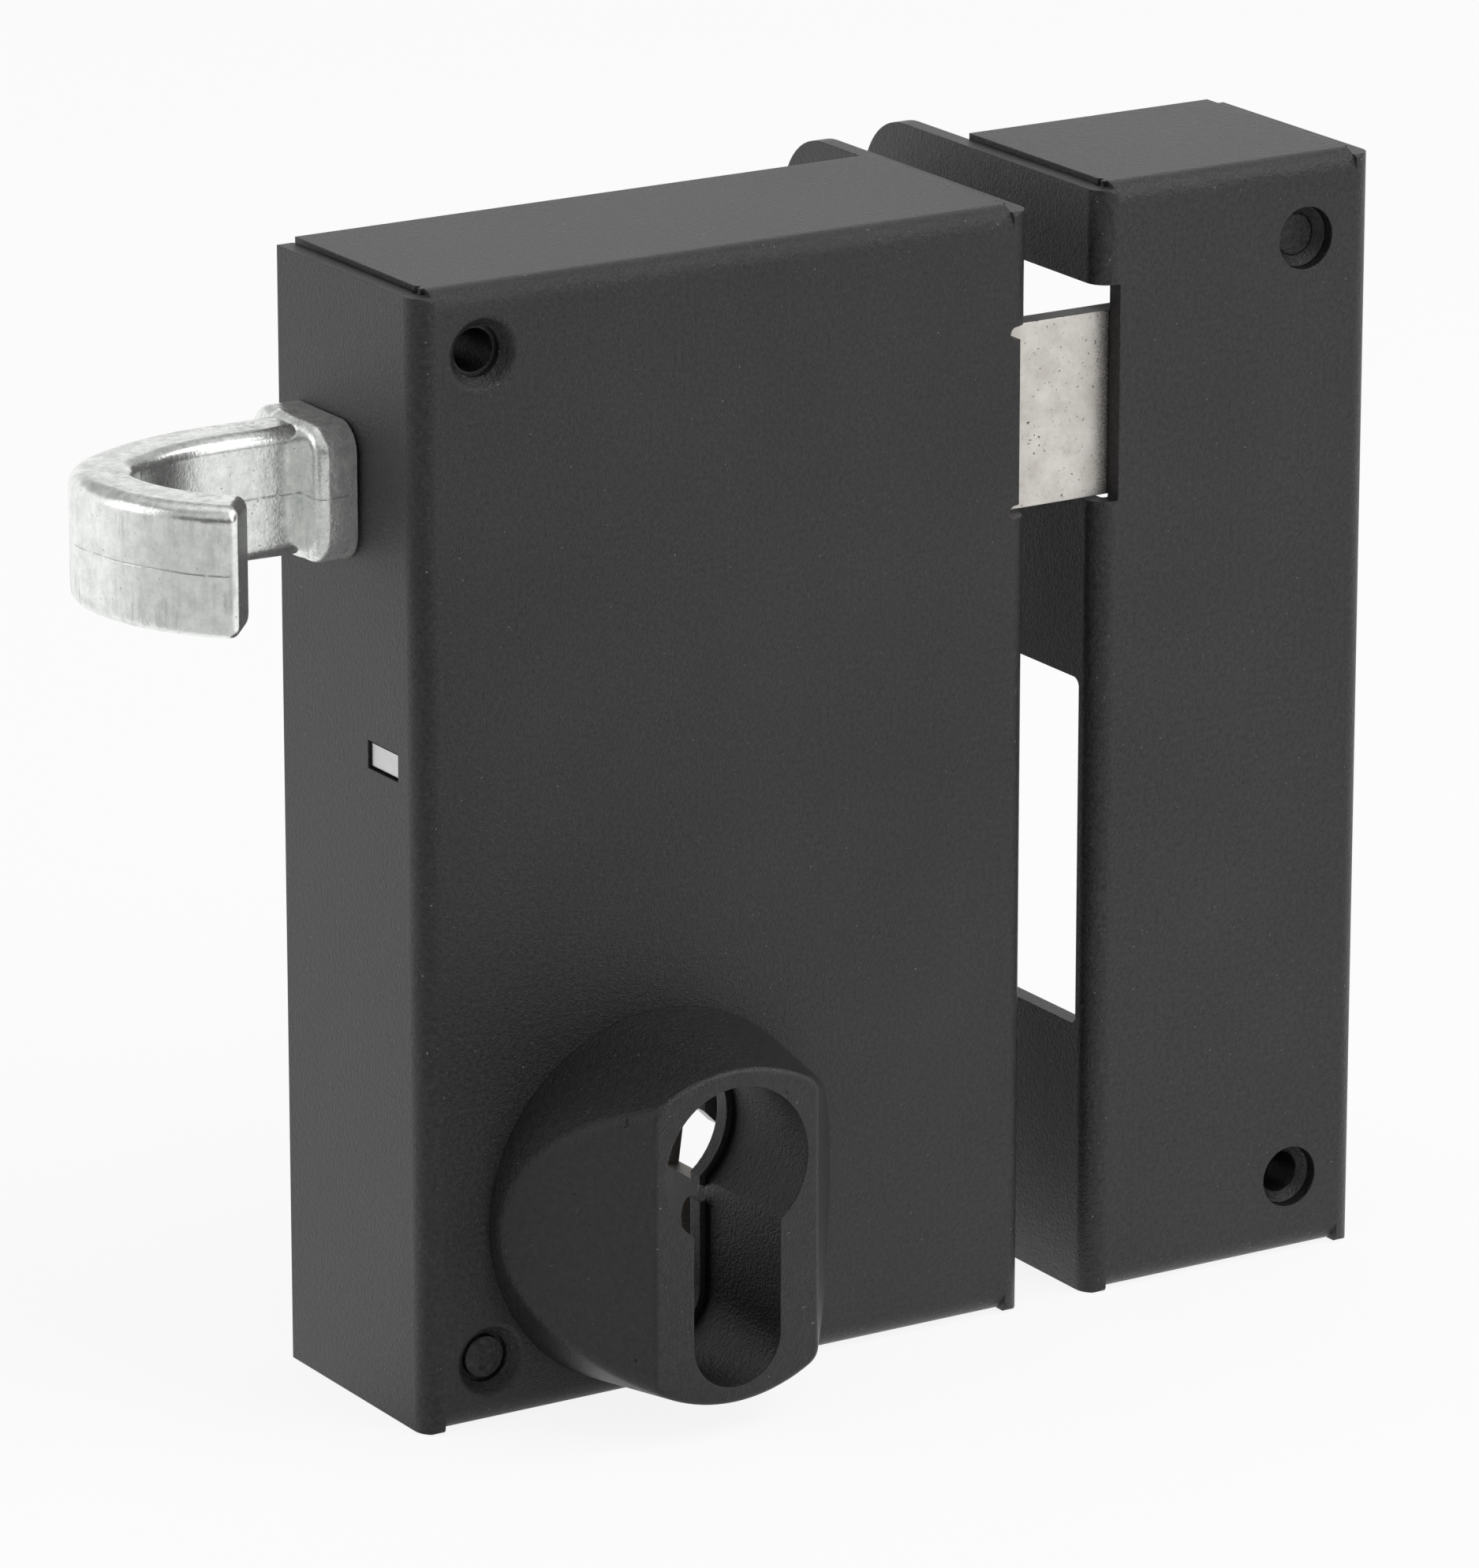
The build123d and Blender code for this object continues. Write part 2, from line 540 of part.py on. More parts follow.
# Cylinder escutcheon: a drafted disc flattened on both sides to a narrow nose,
# round a keyhole that widens a little towards the cover
with BuildPart() as cylinder_escutcheon:
    with BuildSketch(facing(0)):
        with Locations((0, ROSE_Z)):
            Circle(ROSE_RADIUS)
    extrude(amount=ROSE_HEIGHT, taper=ROSE_DRAFT)
    with BuildSketch(Plane.XY.offset(ROSE_Z - ROSE_RADIUS)):
        with BuildLine():
            Polyline(
                (-ROSE_RADIUS, 0),
                (-ROSE_RADIUS, -ROSE_RIM),
                (-NOSE_HALF_WIDTH, -ROSE_HEIGHT),
                (NOSE_HALF_WIDTH, -ROSE_HEIGHT),
                (ROSE_RADIUS, -ROSE_RIM),
                (ROSE_RADIUS, 0),
                close=True,
            )
        make_face()
    extrude(amount=2 * ROSE_RADIUS, mode=Mode.INTERSECT)
    slopes = cylinder_escutcheon.faces().filter_by(GeomType.PLANE).filter_by(Axis.Y, reverse=True)
    slope_edges = slopes.edges().filter_by(GeomType.LINE, reverse=True)
    fillet(slope_edges.filter_by(lambda edge: edge.length > ROSE_RIM * 4), radius=ROSE_SOFT_EDGE)
    nose_face = cylinder_escutcheon.faces().filter_by(Axis.Y).sort_by(Axis.Y)[0]
    fillet(nose_face.edges(), radius=NOSE_SOFT_EDGE)
    with BuildSketch(facing(-ROSE_HEIGHT)):
        Circle(PROFILE_RADIUS + ROSE_HOLE_GAP)
    extrude(amount=-ROSE_HEIGHT, taper=-ROSE_HOLE_DRAFT, mode=Mode.SUBTRACT)
    with BuildSketch(facing(-ROSE_HEIGHT)):
        with Locations((0, PROFILE_LOW / 2)):
            SlotCenterToCenter(-PROFILE_LOW, 2 * (PROFILE_SLOT + ROSE_HOLE_GAP), rotation=90)
    extrude(amount=-ROSE_HEIGHT, taper=-ROSE_HOLE_DRAFT, mode=Mode.SUBTRACT)
    for side in (-ROSE_SCREW_X, ROSE_SCREW_X):
        with Locations(Plane((side, 0, ROSE_Z), z_dir=(0, 1, 0))):
            Hole(SCREW_RADIUS - RIVET_HOLE_GAP, depth=ROSE_SCREW_REACH)
cylinder_escutcheon.part.label = "cylinder_escutcheon"

# Screws that hold the escutcheon from inside the case
with BuildPart() as rose_screw:
    with BuildSketch(Plane.XY):
        with BuildLine():
            Polyline(
                (0, SHEET),
                (0, SHEET + PAN_HEAD_HEIGHT),
                (PAN_HEAD_CROWN, SHEET + PAN_HEAD_HEIGHT),
                (PAN_HEAD_RADIUS, SHEET + PAN_HEAD_HEIGHT / 2),
                (PAN_HEAD_RADIUS, SHEET),
                close=True,
            )
        make_face()
    revolve(axis=Axis.Y)
    with BuildSketch(facing(SHEET)):
        Circle(SCREW_RADIUS - 2 * RIVET_HOLE_GAP)
    extrude(amount=SHEET + ROSE_SCREW_REACH - RIVET_HOLE_GAP)
with BuildPart() as escutcheon_screws:
    with Locations((-ROSE_SCREW_X, 0, ROSE_Z), (ROSE_SCREW_X, 0, ROSE_Z)):
        add(rose_screw.part)
escutcheon_screws.part.label = "escutcheon_screws"

# Latch bolt: a flat front plate bent back at its inner end as a foot for the shank
with BuildPart() as latch_bolt:
    with BuildSketch(Plane.XY.offset(LATCH_LOW)):
        with BuildLine():
            FilletPolyline(
                (FOOT_X + LATCH_PLATE / 2, FOOT_DEPTH),
                (FOOT_X + LATCH_PLATE / 2, LATCH_FRONT + LATCH_PLATE / 2),
                (LATCH_TIP, LATCH_FRONT + LATCH_PLATE / 2),
                radius=FOOT_BEND - LATCH_PLATE / 2,
            )
        trace(line_width=LATCH_PLATE)
    extrude(amount=LATCH_HEIGHT)
    tip_edges = latch_bolt.edges().filter_by(Axis.Z).group_by(Axis.X)[-1]
    fillet(tip_edges.sort_by(Axis.Y)[0], radius=LATCH_PLATE - LATCH_NOSE_FLAT)
    # Narrower foot
    with BuildSketch(Plane.YZ.offset(FOOT_X)) as foot_trim:
        with Locations(((LATCH_FRONT + FOOT_BEND + FOOT_DEPTH) / 2, LATCH_CENTRE)):
            Rectangle(FOOT_DEPTH - LATCH_FRONT - FOOT_BEND, LATCH_HEIGHT)
            Rectangle(FOOT_DEPTH - LATCH_FRONT - FOOT_BEND, FOOT_HEIGHT, mode=Mode.SUBTRACT)
    extrude(amount=LATCH_PLATE, mode=Mode.SUBTRACT)
    with BuildSketch(Plane.YZ.offset(FOOT_X)):
        with Locations((SHANK_DEPTH, LATCH_CENTRE)):
            Circle(SCREW_RADIUS + RIVET_HOLE_GAP)
    extrude(amount=LATCH_PLATE, mode=Mode.SUBTRACT)
    # Guide slot and the hole for the fork's pin
    with BuildSketch(facing(LATCH_FRONT)):
        with Locations((GUIDE_X + LATCH_TRAVEL / 2, LATCH_CENTRE)):
            SlotOverall(
                LATCH_TRAVEL + 2 * (JOURNAL_RADIUS + SLOT_CLEARANCE),
                2 * (JOURNAL_RADIUS + SLOT_CLEARANCE),
            )
        with Locations((PIN_X, PIN_Z)):
            Circle(PIN_SPIGOT + RIVET_HOLE_GAP)
    extrude(amount=-LATCH_PLATE, mode=Mode.SUBTRACT)
latch_bolt.part.label = "latch_bolt"

# Pin on the latch for the lever's fork
with BuildPart() as latch_pin:
    with BuildSketch(facing(LATCH_FRONT)):
        with Locations((PIN_X, PIN_Z)):
            Circle(PIN_SPIGOT)
    extrude(amount=-LATCH_PLATE)
    with BuildSketch(facing(LATCH_BACK)):
        with Locations((PIN_X, PIN_Z)):
            Circle(PIN_RADIUS)
    extrude(amount=-(LEVER_FRONT + LEVER_PLATE + SIDE_PLAY - LATCH_BACK))
latch_pin.part.label = "latch_pin"

# Post that guides the latch plate
with BuildPart() as guide_post:
    with BuildSketch(Plane((GUIDE_X, 0, LATCH_CENTRE))):
        with BuildLine():
            Polyline(
                (0, SHEET),
                (JOURNAL_RADIUS, SHEET),
                (JOURNAL_RADIUS, LATCH_BACK + SIDE_PLAY),
                (STUD_RADIUS, LATCH_BACK + SIDE_PLAY),
                (STUD_RADIUS, BACK_FRONT),
                (STUD_SPIGOT, BACK_FRONT),
                (STUD_SPIGOT, CASE_DEPTH),
                (0, CASE_DEPTH),
                close=True,
            )
        make_face()
    revolve(axis=Axis((GUIDE_X, 0, LATCH_CENTRE), (0, 1, 0)))
guide_post.part.label = "guide_post"

# Pull handle: hook, collar and shank cast in one
HOOK_START = LEFT - COLLAR_GAP - COLLAR_THICKNESS
with BuildPart() as pull_handle:
    with BuildLine() as hook_path:
        arm = Line(
            (HOOK_START + HOOK_SOFT_EDGE, SHANK_DEPTH, LATCH_CENTRE),
            (HOOK_START - HOOK_ARM, SHANK_DEPTH, LATCH_CENTRE),
        )
        sweep_arc = JernArc(arm @ 1, arm % 1, HOOK_SWEEP_RADIUS, HOOK_SWEEP_ANGLE)
        curl_arc = JernArc(sweep_arc @ 1, sweep_arc % 1, HOOK_CURL_RADIUS, HOOK_CURL_ANGLE)
        JernArc(curl_arc @ 1, curl_arc % 1, HOOK_END_RADIUS, HOOK_END_ANGLE)
    with BuildSketch(Plane(arm @ 0, x_dir=(0, 1, 0), z_dir=(-1, 0, 0))):
        RectangleRounded(HOOK_WIDTH, HOOK_HEIGHT, HOOK_SOFT_EDGE)
    sweep(path=hook_path.wires()[0])
    hook_end = hook_path.wires()[0] @ 1
    end_face = pull_handle.faces().sort_by_distance(hook_end)[0]
    fillet(end_face.edges(), radius=HOOK_TIP_EDGE)
    with BuildSketch(Plane.YZ.offset(LEFT - COLLAR_GAP)):
        with Locations((SHANK_DEPTH, LATCH_CENTRE)):
            RectangleRounded(COLLAR_SIZE, COLLAR_SIZE, COLLAR_CORNER)
    extrude(amount=-COLLAR_THICKNESS)
    flat_faces = pull_handle.faces().filter_by(Axis.X)
    collar_face = flat_faces.filter_by_position(
        Axis.X, HOOK_START - COLLAR_GAP, HOOK_START + COLLAR_GAP
    )[0]
    fillet(collar_face.outer_wire().edges(), radius=COLLAR_SOFT_EDGE)
    with BuildSketch(Plane.YZ.offset(LEFT - COLLAR_GAP)):
        with Locations((SHANK_DEPTH, LATCH_CENTRE)):
            Circle(SHANK_RADIUS)
    extrude(amount=FOOT_X - LEFT + COLLAR_GAP)
    with Locations(Plane((FOOT_X, SHANK_DEPTH, LATCH_CENTRE), z_dir=(1, 0, 0))):
        Hole(THREAD_RADIUS, depth=THREAD_DEPTH)
pull_handle.part.label = "pull_handle"

# Screw that holds the shank on the latch's foot
with BuildPart() as handle_screw:
    with BuildSketch(Plane.YZ.offset(FOOT_X + LATCH_PLATE)):
        with Locations((SHANK_DEPTH, LATCH_CENTRE)):
            Circle(PAN_HEAD_RADIUS)
    extrude(amount=PAN_HEAD_HEIGHT)
    head_rim = handle_screw.faces().sort_by(Axis.X)[-1].edges()
    fillet(head_rim, radius=PAN_HEAD_HEIGHT / 2)
    with BuildSketch(Plane.YZ.offset(FOOT_X + LATCH_PLATE)):
        with Locations((SHANK_DEPTH, LATCH_CENTRE)):
            Circle(THREAD_RADIUS - RIVET_HOLE_GAP)
    extrude(amount=-(LATCH_PLATE + THREAD_DEPTH - SPRING_SEAT_GAP))
handle_screw.part.label = "handle_screw"

# Latch spring between the case's side and the latch's foot
SPRING_START = LEFT + SHEET + SPRING_SEAT_GAP + SPRING_WIRE
SPRING_END = FOOT_X - SPRING_SEAT_GAP - SPRING_WIRE
with BuildPart() as latch_spring:
    with BuildLine() as coil:
        Helix(
            pitch=(SPRING_END - SPRING_START) / SPRING_TURNS,
            height=SPRING_END - SPRING_START,
            radius=SPRING_RADIUS,
            center=(SPRING_START, SHANK_DEPTH, LATCH_CENTRE),
            direction=(1, 0, 0),
        )
    with BuildSketch(Plane(coil.edges()[0] @ 0, z_dir=coil.edges()[0] % 0)):
        Circle(SPRING_WIRE)
    sweep(path=coil.edges()[0], is_frenet=True)
latch_spring.part.label = "latch_spring"

# Latch lever: a long arm from its pivot to the fork, with a finger in the cam's path
LEVER_ANGLE = degrees(atan2(PIN_X - LEVER_X, PIN_Z - LEVER_Z))
LEVER_LENGTH = hypot(PIN_X - LEVER_X, PIN_Z - LEVER_Z)
with BuildPart() as latch_lever:
    with BuildSketch(facing(LEVER_FRONT)):
        with BuildSketch(mode=Mode.PRIVATE) as arm_outline:
            with Locations((LEVER_X, LEVER_Z), (PIN_X, PIN_Z)):
                Circle(LEVER_ARM)
            make_hull()
        add(arm_outline.sketch)
        with Locations((LEVER_X, LEVER_Z)):
            Circle(LEVER_BOSS)
        with Locations((PIN_X, PIN_Z)):
            Circle(LEVER_END)
        with BuildSketch(mode=Mode.PRIVATE) as finger_outline:
            with Locations((LEVER_X + FINGER_ROOT_REACH, LEVER_Z + FINGER_ROOT_RISE)):
                Circle(FINGER_ROOT)
            with Locations((LEVER_X + FINGER_REACH, LEVER_Z + FINGER_RISE)):
                Circle(FINGER_TIP)
            make_hull()
        add(finger_outline.sketch)
        with Locations((LEVER_X, LEVER_Z)):
            Circle(JOURNAL_RADIUS + LEVER_BORE_GAP, mode=Mode.SUBTRACT)
        with Locations(Location((PIN_X, PIN_Z), -LEVER_ANGLE)):
            with Locations((0, (FORK_ABOVE - FORK_BELOW + PIN_RADIUS) / 2)):
                SlotOverall(
                    FORK_ABOVE + FORK_BELOW + 3 * PIN_RADIUS,
                    2 * (PIN_RADIUS + FORK_GAP),
                    rotation=90,
                    mode=Mode.SUBTRACT,
                )
    extrude(amount=-LEVER_PLATE)
latch_lever.part.label = "latch_lever"

# Pivot of the lever
with BuildPart() as lever_pivot:
    with BuildSketch(Plane((LEVER_X, 0, LEVER_Z))):
        with BuildLine():
            Polyline(
                (0, LEVER_FRONT - SIDE_PLAY - STUD_HEAD_HEIGHT),
                (STUD_HEAD_RADIUS, LEVER_FRONT - SIDE_PLAY - STUD_HEAD_HEIGHT),
                (STUD_HEAD_RADIUS, LEVER_FRONT - SIDE_PLAY),
                (JOURNAL_RADIUS, LEVER_FRONT - SIDE_PLAY),
                (JOURNAL_RADIUS, LEVER_FRONT + LEVER_PLATE + SIDE_PLAY),
                (STUD_RADIUS, LEVER_FRONT + LEVER_PLATE + SIDE_PLAY),
                (STUD_RADIUS, BACK_FRONT),
                (STUD_SPIGOT, BACK_FRONT),
                (STUD_SPIGOT, CASE_DEPTH),
                (0, CASE_DEPTH),
                close=True,
            )
        make_face()
    revolve(axis=Axis((LEVER_X, 0, LEVER_Z), (0, 1, 0)))
lever_pivot.part.label = "lever_pivot"

# Shelf bracket: foot riveted to the back plate, tab held in the case's side
with BuildPart() as shelf_bracket:
    with BuildSketch(Plane.YZ.offset(SHELF_LEFT)):
        with BuildLine():
            FilletPolyline(
                (SHELF_FRONT, SHELF_Z + SHELF_PLATE / 2),
                (BACK_FRONT - SHELF_PLATE / 2, SHELF_Z + SHELF_PLATE / 2),
                (BACK_FRONT - SHELF_PLATE / 2, SHELF_Z + SHELF_FOOT),
                radius=SHELF_BEND + SHELF_PLATE / 2,
            )
        trace(line_width=SHELF_PLATE)
    extrude(amount=SHELF_RIGHT - SHELF_LEFT)
    with BuildSketch(Plane.YZ.offset(SHELF_LEFT)):
        with Locations((SHELF_FRONT + TAB_DEPTH / 2, SHELF_Z + SHELF_PLATE / 2)):
            Rectangle(TAB_DEPTH, SHELF_PLATE)
    extrude(amount=LEFT + TAB_RECESS - SHELF_LEFT)
    with BuildSketch(Plane.XY.offset(SHELF_Z)):
        with Locations(
            ((LEVER_SLOT_LEFT + LEVER_SLOT_RIGHT) / 2, LEVER_FRONT + LEVER_PLATE / 2)
        ):
            Rectangle(LEVER_SLOT_RIGHT - LEVER_SLOT_LEFT, LEVER_PLATE + 2 * LEVER_SLOT_GAP)
        with Locations((CLICK_RIVET_X, TAIL_FRONT + TAIL_PLATE / 2)):
            Circle(CLICK_RIVET_RADIUS + RIVET_HOLE_GAP)
    extrude(amount=SHELF_PLATE, mode=Mode.SUBTRACT)
    with BuildSketch(facing(BACK_FRONT)):
        with Locations(
            (SHELF_RIVET_LEFT, SHELF_Z + SHELF_RIVET_RISE),
            (SHELF_RIVET_RIGHT, SHELF_Z + SHELF_RIVET_RISE),
        ):
            Circle(RIVET_RADIUS + RIVET_HOLE_GAP)
    extrude(amount=SHELF_PLATE, mode=Mode.SUBTRACT)
shelf_bracket.part.label = "shelf_bracket"

# Rivets of the shelf's foot
with BuildPart() as shelf_rivets:
    for side in (SHELF_RIVET_LEFT, SHELF_RIVET_RIGHT):
        with BuildSketch(facing(BACK_FRONT - SHELF_PLATE)):
            with Locations((side, SHELF_Z + SHELF_RIVET_RISE)):
                Circle(RIVET_HEAD_RADIUS)
        extrude(amount=RIVET_HEAD_HEIGHT)
        with BuildSketch(facing(BACK_FRONT - SHELF_PLATE)):
            with Locations((side, SHELF_Z + SHELF_RIVET_RISE)):
                Circle(RIVET_RADIUS)
        extrude(amount=-(SHELF_PLATE + BACK_THICKNESS))
shelf_rivets.part.label = "shelf_rivets"

# Bracket beside the cylinder: a cheek with the cylinder screw's hole and an ear
with BuildPart() as cylinder_bracket:
    with BuildSketch(facing(CHEEK_FRONT)):
        with BuildLine():
            FilletPolyline(
                (CHEEK_X + CHEEK_PLATE / 2, CHEEK_EAR_TOP),
                (CHEEK_X + CHEEK_PLATE / 2, BOTTOM + SHEET + CHEEK_PLATE / 2),
                (CHEEK_X + CHEEK_FOOT, BOTTOM + SHEET + CHEEK_PLATE / 2),
                radius=CHEEK_BEND + CHEEK_PLATE / 2,
            )
        trace(line_width=CHEEK_PLATE)
    extrude(amount=-(CHEEK_BACK - CHEEK_FRONT))
    with BuildSketch(Plane.YZ.offset(CHEEK_X)):
        with BuildLine():
            Polyline(
                (CHEEK_FRONT, CHEEK_TOP),
                (CHEEK_EAR_FRONT, CHEEK_TOP),
                (CHEEK_EAR_FRONT - CHEEK_EAR_SLANT, CHEEK_EAR_TOP),
                (CHEEK_FRONT, CHEEK_EAR_TOP),
                close=True,
            )
        make_face()
        with Locations((CHEEK_HOLE_DEPTH, CHEEK_HOLE_Z)):
            Circle(CHEEK_HOLE_RADIUS)
    extrude(amount=CHEEK_PLATE, mode=Mode.SUBTRACT)
    with BuildSketch(Plane.XY.offset(BOTTOM + SHEET)):
        with Locations(
            (CHEEK_X + CHEEK_RIVET_INSET, CHEEK_RIVET_FRONT),
            (CHEEK_X + CHEEK_RIVET_INSET, CHEEK_RIVET_BACK),
        ):
            Circle(RIVET_RADIUS + RIVET_HOLE_GAP)
    extrude(amount=CHEEK_PLATE, mode=Mode.SUBTRACT)
cylinder_bracket.part.label = "cylinder_bracket"

# Rivets of the bracket's foot
with BuildPart() as bracket_rivets:
    for depth in (CHEEK_RIVET_FRONT, CHEEK_RIVET_BACK):
        with BuildSketch(Plane.XY.offset(BOTTOM + SHEET + CHEEK_PLATE)):
            with Locations((CHEEK_X + CHEEK_RIVET_INSET, depth)):
                Circle(RIVET_HEAD_RADIUS)
        extrude(amount=RIVET_HEAD_HEIGHT)
        with BuildSketch(Plane.XY.offset(BOTTOM)):
            with Locations((CHEEK_X + CHEEK_RIVET_INSET, depth)):
                Circle(RIVET_RADIUS)
        extrude(amount=SHEET + CHEEK_PLATE)
bracket_rivets.part.label = "bracket_rivets"

# Deadbolt head, grooved at its inner end for the tail
with BuildPart() as deadbolt_head:
    with BuildSketch(facing(DEADBOLT_FRONT)):
        with Locations((DEADBOLT_ROOT + DEADBOLT_LENGTH / 2, DEADBOLT_CENTRE)):
            Rectangle(DEADBOLT_LENGTH, DEADBOLT_HEIGHT)
    extrude(amount=-DEADBOLT_THICKNESS)
    chamfer(deadbolt_head.faces().sort_by(Axis.X)[-1].edges(), length=DEADBOLT_CHAMFER)
    with BuildSketch(facing(TAIL_FRONT - TAIL_GROOVE_GAP)):
        with Locations((DEADBOLT_ROOT + TAIL_GRIP / 2, DEADBOLT_CENTRE)):
            Rectangle(TAIL_GRIP + 2 * TAIL_GROOVE_GAP, DEADBOLT_HEIGHT)
    extrude(amount=-(TAIL_PLATE + 2 * TAIL_GROOVE_GAP), mode=Mode.SUBTRACT)
    with BuildSketch(facing(DEADBOLT_FRONT)):
        with Locations(
            (BOLT_RIVET_X, DEADBOLT_CENTRE - BOLT_RIVET_SPREAD),
            (BOLT_RIVET_X, DEADBOLT_CENTRE + BOLT_RIVET_SPREAD),
        ):
            Circle(RIVET_RADIUS + RIVET_HOLE_GAP)
    extrude(amount=-DEADBOLT_THICKNESS, mode=Mode.SUBTRACT)
deadbolt_head.part.label = "deadbolt_head"

# Deadbolt tail: plate with the cam's notch, the guide slot and two click notches
with BuildPart() as deadbolt_tail:
    with BuildSketch(facing(TAIL_FRONT)) as tail:
        with BuildLine():
            Polyline(
                (TAIL_LEFT, TAIL_LIP),
                (CAM_NOTCH_LEFT, TAIL_LIP),
                (CAM_NOTCH_LEFT, CAM_NOTCH_TOP),
                (CAM_NOTCH_RIGHT, CAM_NOTCH_TOP),
                (CAM_NOTCH_RIGHT, TAIL_LIP),
                (DEADBOLT_ROOT - TAIL_LUG, TAIL_LIP),
                (DEADBOLT_ROOT - TAIL_LUG, TAIL_DROP + TAIL_CORNER),
                (DEADBOLT_ROOT - TAIL_LUG + TAIL_CORNER, TAIL_DROP),
                (DEADBOLT_ROOT - TAIL_GROOVE_GAP, TAIL_DROP),
                (DEADBOLT_ROOT - TAIL_GROOVE_GAP, DEADBOLT_LOW + TAIL_STEP),
                (DEADBOLT_ROOT + TAIL_GRIP, DEADBOLT_LOW + TAIL_STEP),
                (DEADBOLT_ROOT + TAIL_GRIP, TAIL_TOP),
                (TAIL_LEFT, TAIL_TOP),
                close=True,
            )
        make_face()
        with Locations((BOLT_STUD_X - DEADBOLT_THROW / 2, BOLT_STUD_Z)):
            SlotOverall(
                DEADBOLT_THROW + 2 * (JOURNAL_RADIUS + SLOT_CLEARANCE),
                2 * (JOURNAL_RADIUS + SLOT_CLEARANCE),
                mode=Mode.SUBTRACT,
            )
        with Locations(
            (BOLT_RIVET_X, DEADBOLT_CENTRE - BOLT_RIVET_SPREAD),
            (BOLT_RIVET_X, DEADBOLT_CENTRE + BOLT_RIVET_SPREAD),
        ):
            Circle(RIVET_RADIUS + RIVET_HOLE_GAP, mode=Mode.SUBTRACT)
        with Locations((CLICK_X, TAIL_TOP), (CLICK_X - DEADBOLT_THROW, TAIL_TOP)):
            Circle(CLICK_BUMP + CLICK_CLEARANCE, mode=Mode.SUBTRACT)
    extrude(amount=-TAIL_PLATE)
deadbolt_tail.part.label = "deadbolt_tail"

# Rivets that join tail and head
with BuildPart() as deadbolt_rivets:
    with BuildSketch(facing(DEADBOLT_FRONT)):
        with Locations(
            (BOLT_RIVET_X, DEADBOLT_CENTRE - BOLT_RIVET_SPREAD),
            (BOLT_RIVET_X, DEADBOLT_CENTRE + BOLT_RIVET_SPREAD),
        ):
            Circle(RIVET_RADIUS)
    extrude(amount=-DEADBOLT_THICKNESS)
deadbolt_rivets.part.label = "deadbolt_rivets"

# Stud that guides the tail in its slot
with BuildPart() as bolt_stud:
    with BuildSketch(Plane((BOLT_STUD_X, 0, BOLT_STUD_Z))):
        with BuildLine():
            Polyline(
                (0, TAIL_FRONT - SIDE_PLAY - STUD_HEAD_HEIGHT),
                (STUD_HEAD_RADIUS, TAIL_FRONT - SIDE_PLAY - STUD_HEAD_HEIGHT),
                (STUD_HEAD_RADIUS, TAIL_FRONT - SIDE_PLAY),
                (JOURNAL_RADIUS, TAIL_FRONT - SIDE_PLAY),
                (JOURNAL_RADIUS, TAIL_BACK + SIDE_PLAY),
                (STUD_RADIUS, TAIL_BACK + SIDE_PLAY),
                (STUD_RADIUS, BACK_FRONT),
                (STUD_SPIGOT, BACK_FRONT),
                (STUD_SPIGOT, CASE_DEPTH),
                (0, CASE_DEPTH),
                close=True,
            )
        make_face()
    revolve(axis=Axis((BOLT_STUD_X, 0, BOLT_STUD_Z), (0, 1, 0)))
bolt_stud.part.label = "bolt_stud"

# Click spring: a strip under the shelf whose rounded end rests in a notch of the tail
CLICK_FRONT = TAIL_FRONT + TAIL_PLATE / 2 - CLICK_WIDTH / 2
CLICK_TOP = SHELF_Z - CLICK_STRIP / 2
CLICK_MID = CLICK_BUMP - CLICK_STRIP / 2
with BuildPart() as click_spring:
    with BuildSketch(facing(CLICK_FRONT)):
        with BuildLine():
            strip = Polyline(
                (CLICK_ROOT_X, CLICK_TOP),
                (CLICK_BEND_X, CLICK_TOP),
                (CLICK_X - CLICK_MID, TAIL_TOP + CLICK_RISE),
                (CLICK_X - CLICK_MID, TAIL_TOP),
            )
            ThreePointArc(
                strip @ 1, (CLICK_X, TAIL_TOP - CLICK_MID), (CLICK_X + CLICK_MID, TAIL_TOP)
            )
            Line((CLICK_X + CLICK_MID, TAIL_TOP), (CLICK_X + CLICK_MID, TAIL_TOP + CLICK_RISE))
        trace(line_width=CLICK_STRIP)
    extrude(amount=-CLICK_WIDTH)
    with BuildSketch(Plane.XY.offset(SHELF_Z - CLICK_STRIP)):
        with Locations((CLICK_RIVET_X, TAIL_FRONT + TAIL_PLATE / 2)):
            Circle(CLICK_RIVET_RADIUS + RIVET_HOLE_GAP)
    extrude(amount=CLICK_STRIP, mode=Mode.SUBTRACT)
click_spring.part.label = "click_spring"

# Rivet of the click spring
with BuildPart() as click_rivet:
    with BuildSketch(Plane.XY.offset(SHELF_Z - CLICK_STRIP)):
        with Locations((CLICK_RIVET_X, TAIL_FRONT + TAIL_PLATE / 2)):
            Circle(CLICK_HEAD_RADIUS)
    extrude(amount=-CLICK_HEAD_HEIGHT)
    with BuildSketch(Plane.XY.offset(SHELF_Z - CLICK_STRIP)):
        with Locations((CLICK_RIVET_X, TAIL_FRONT + TAIL_PLATE / 2)):
            Circle(CLICK_RIVET_RADIUS)
    extrude(amount=CLICK_STRIP + SHELF_PLATE)
click_rivet.part.label = "click_rivet"

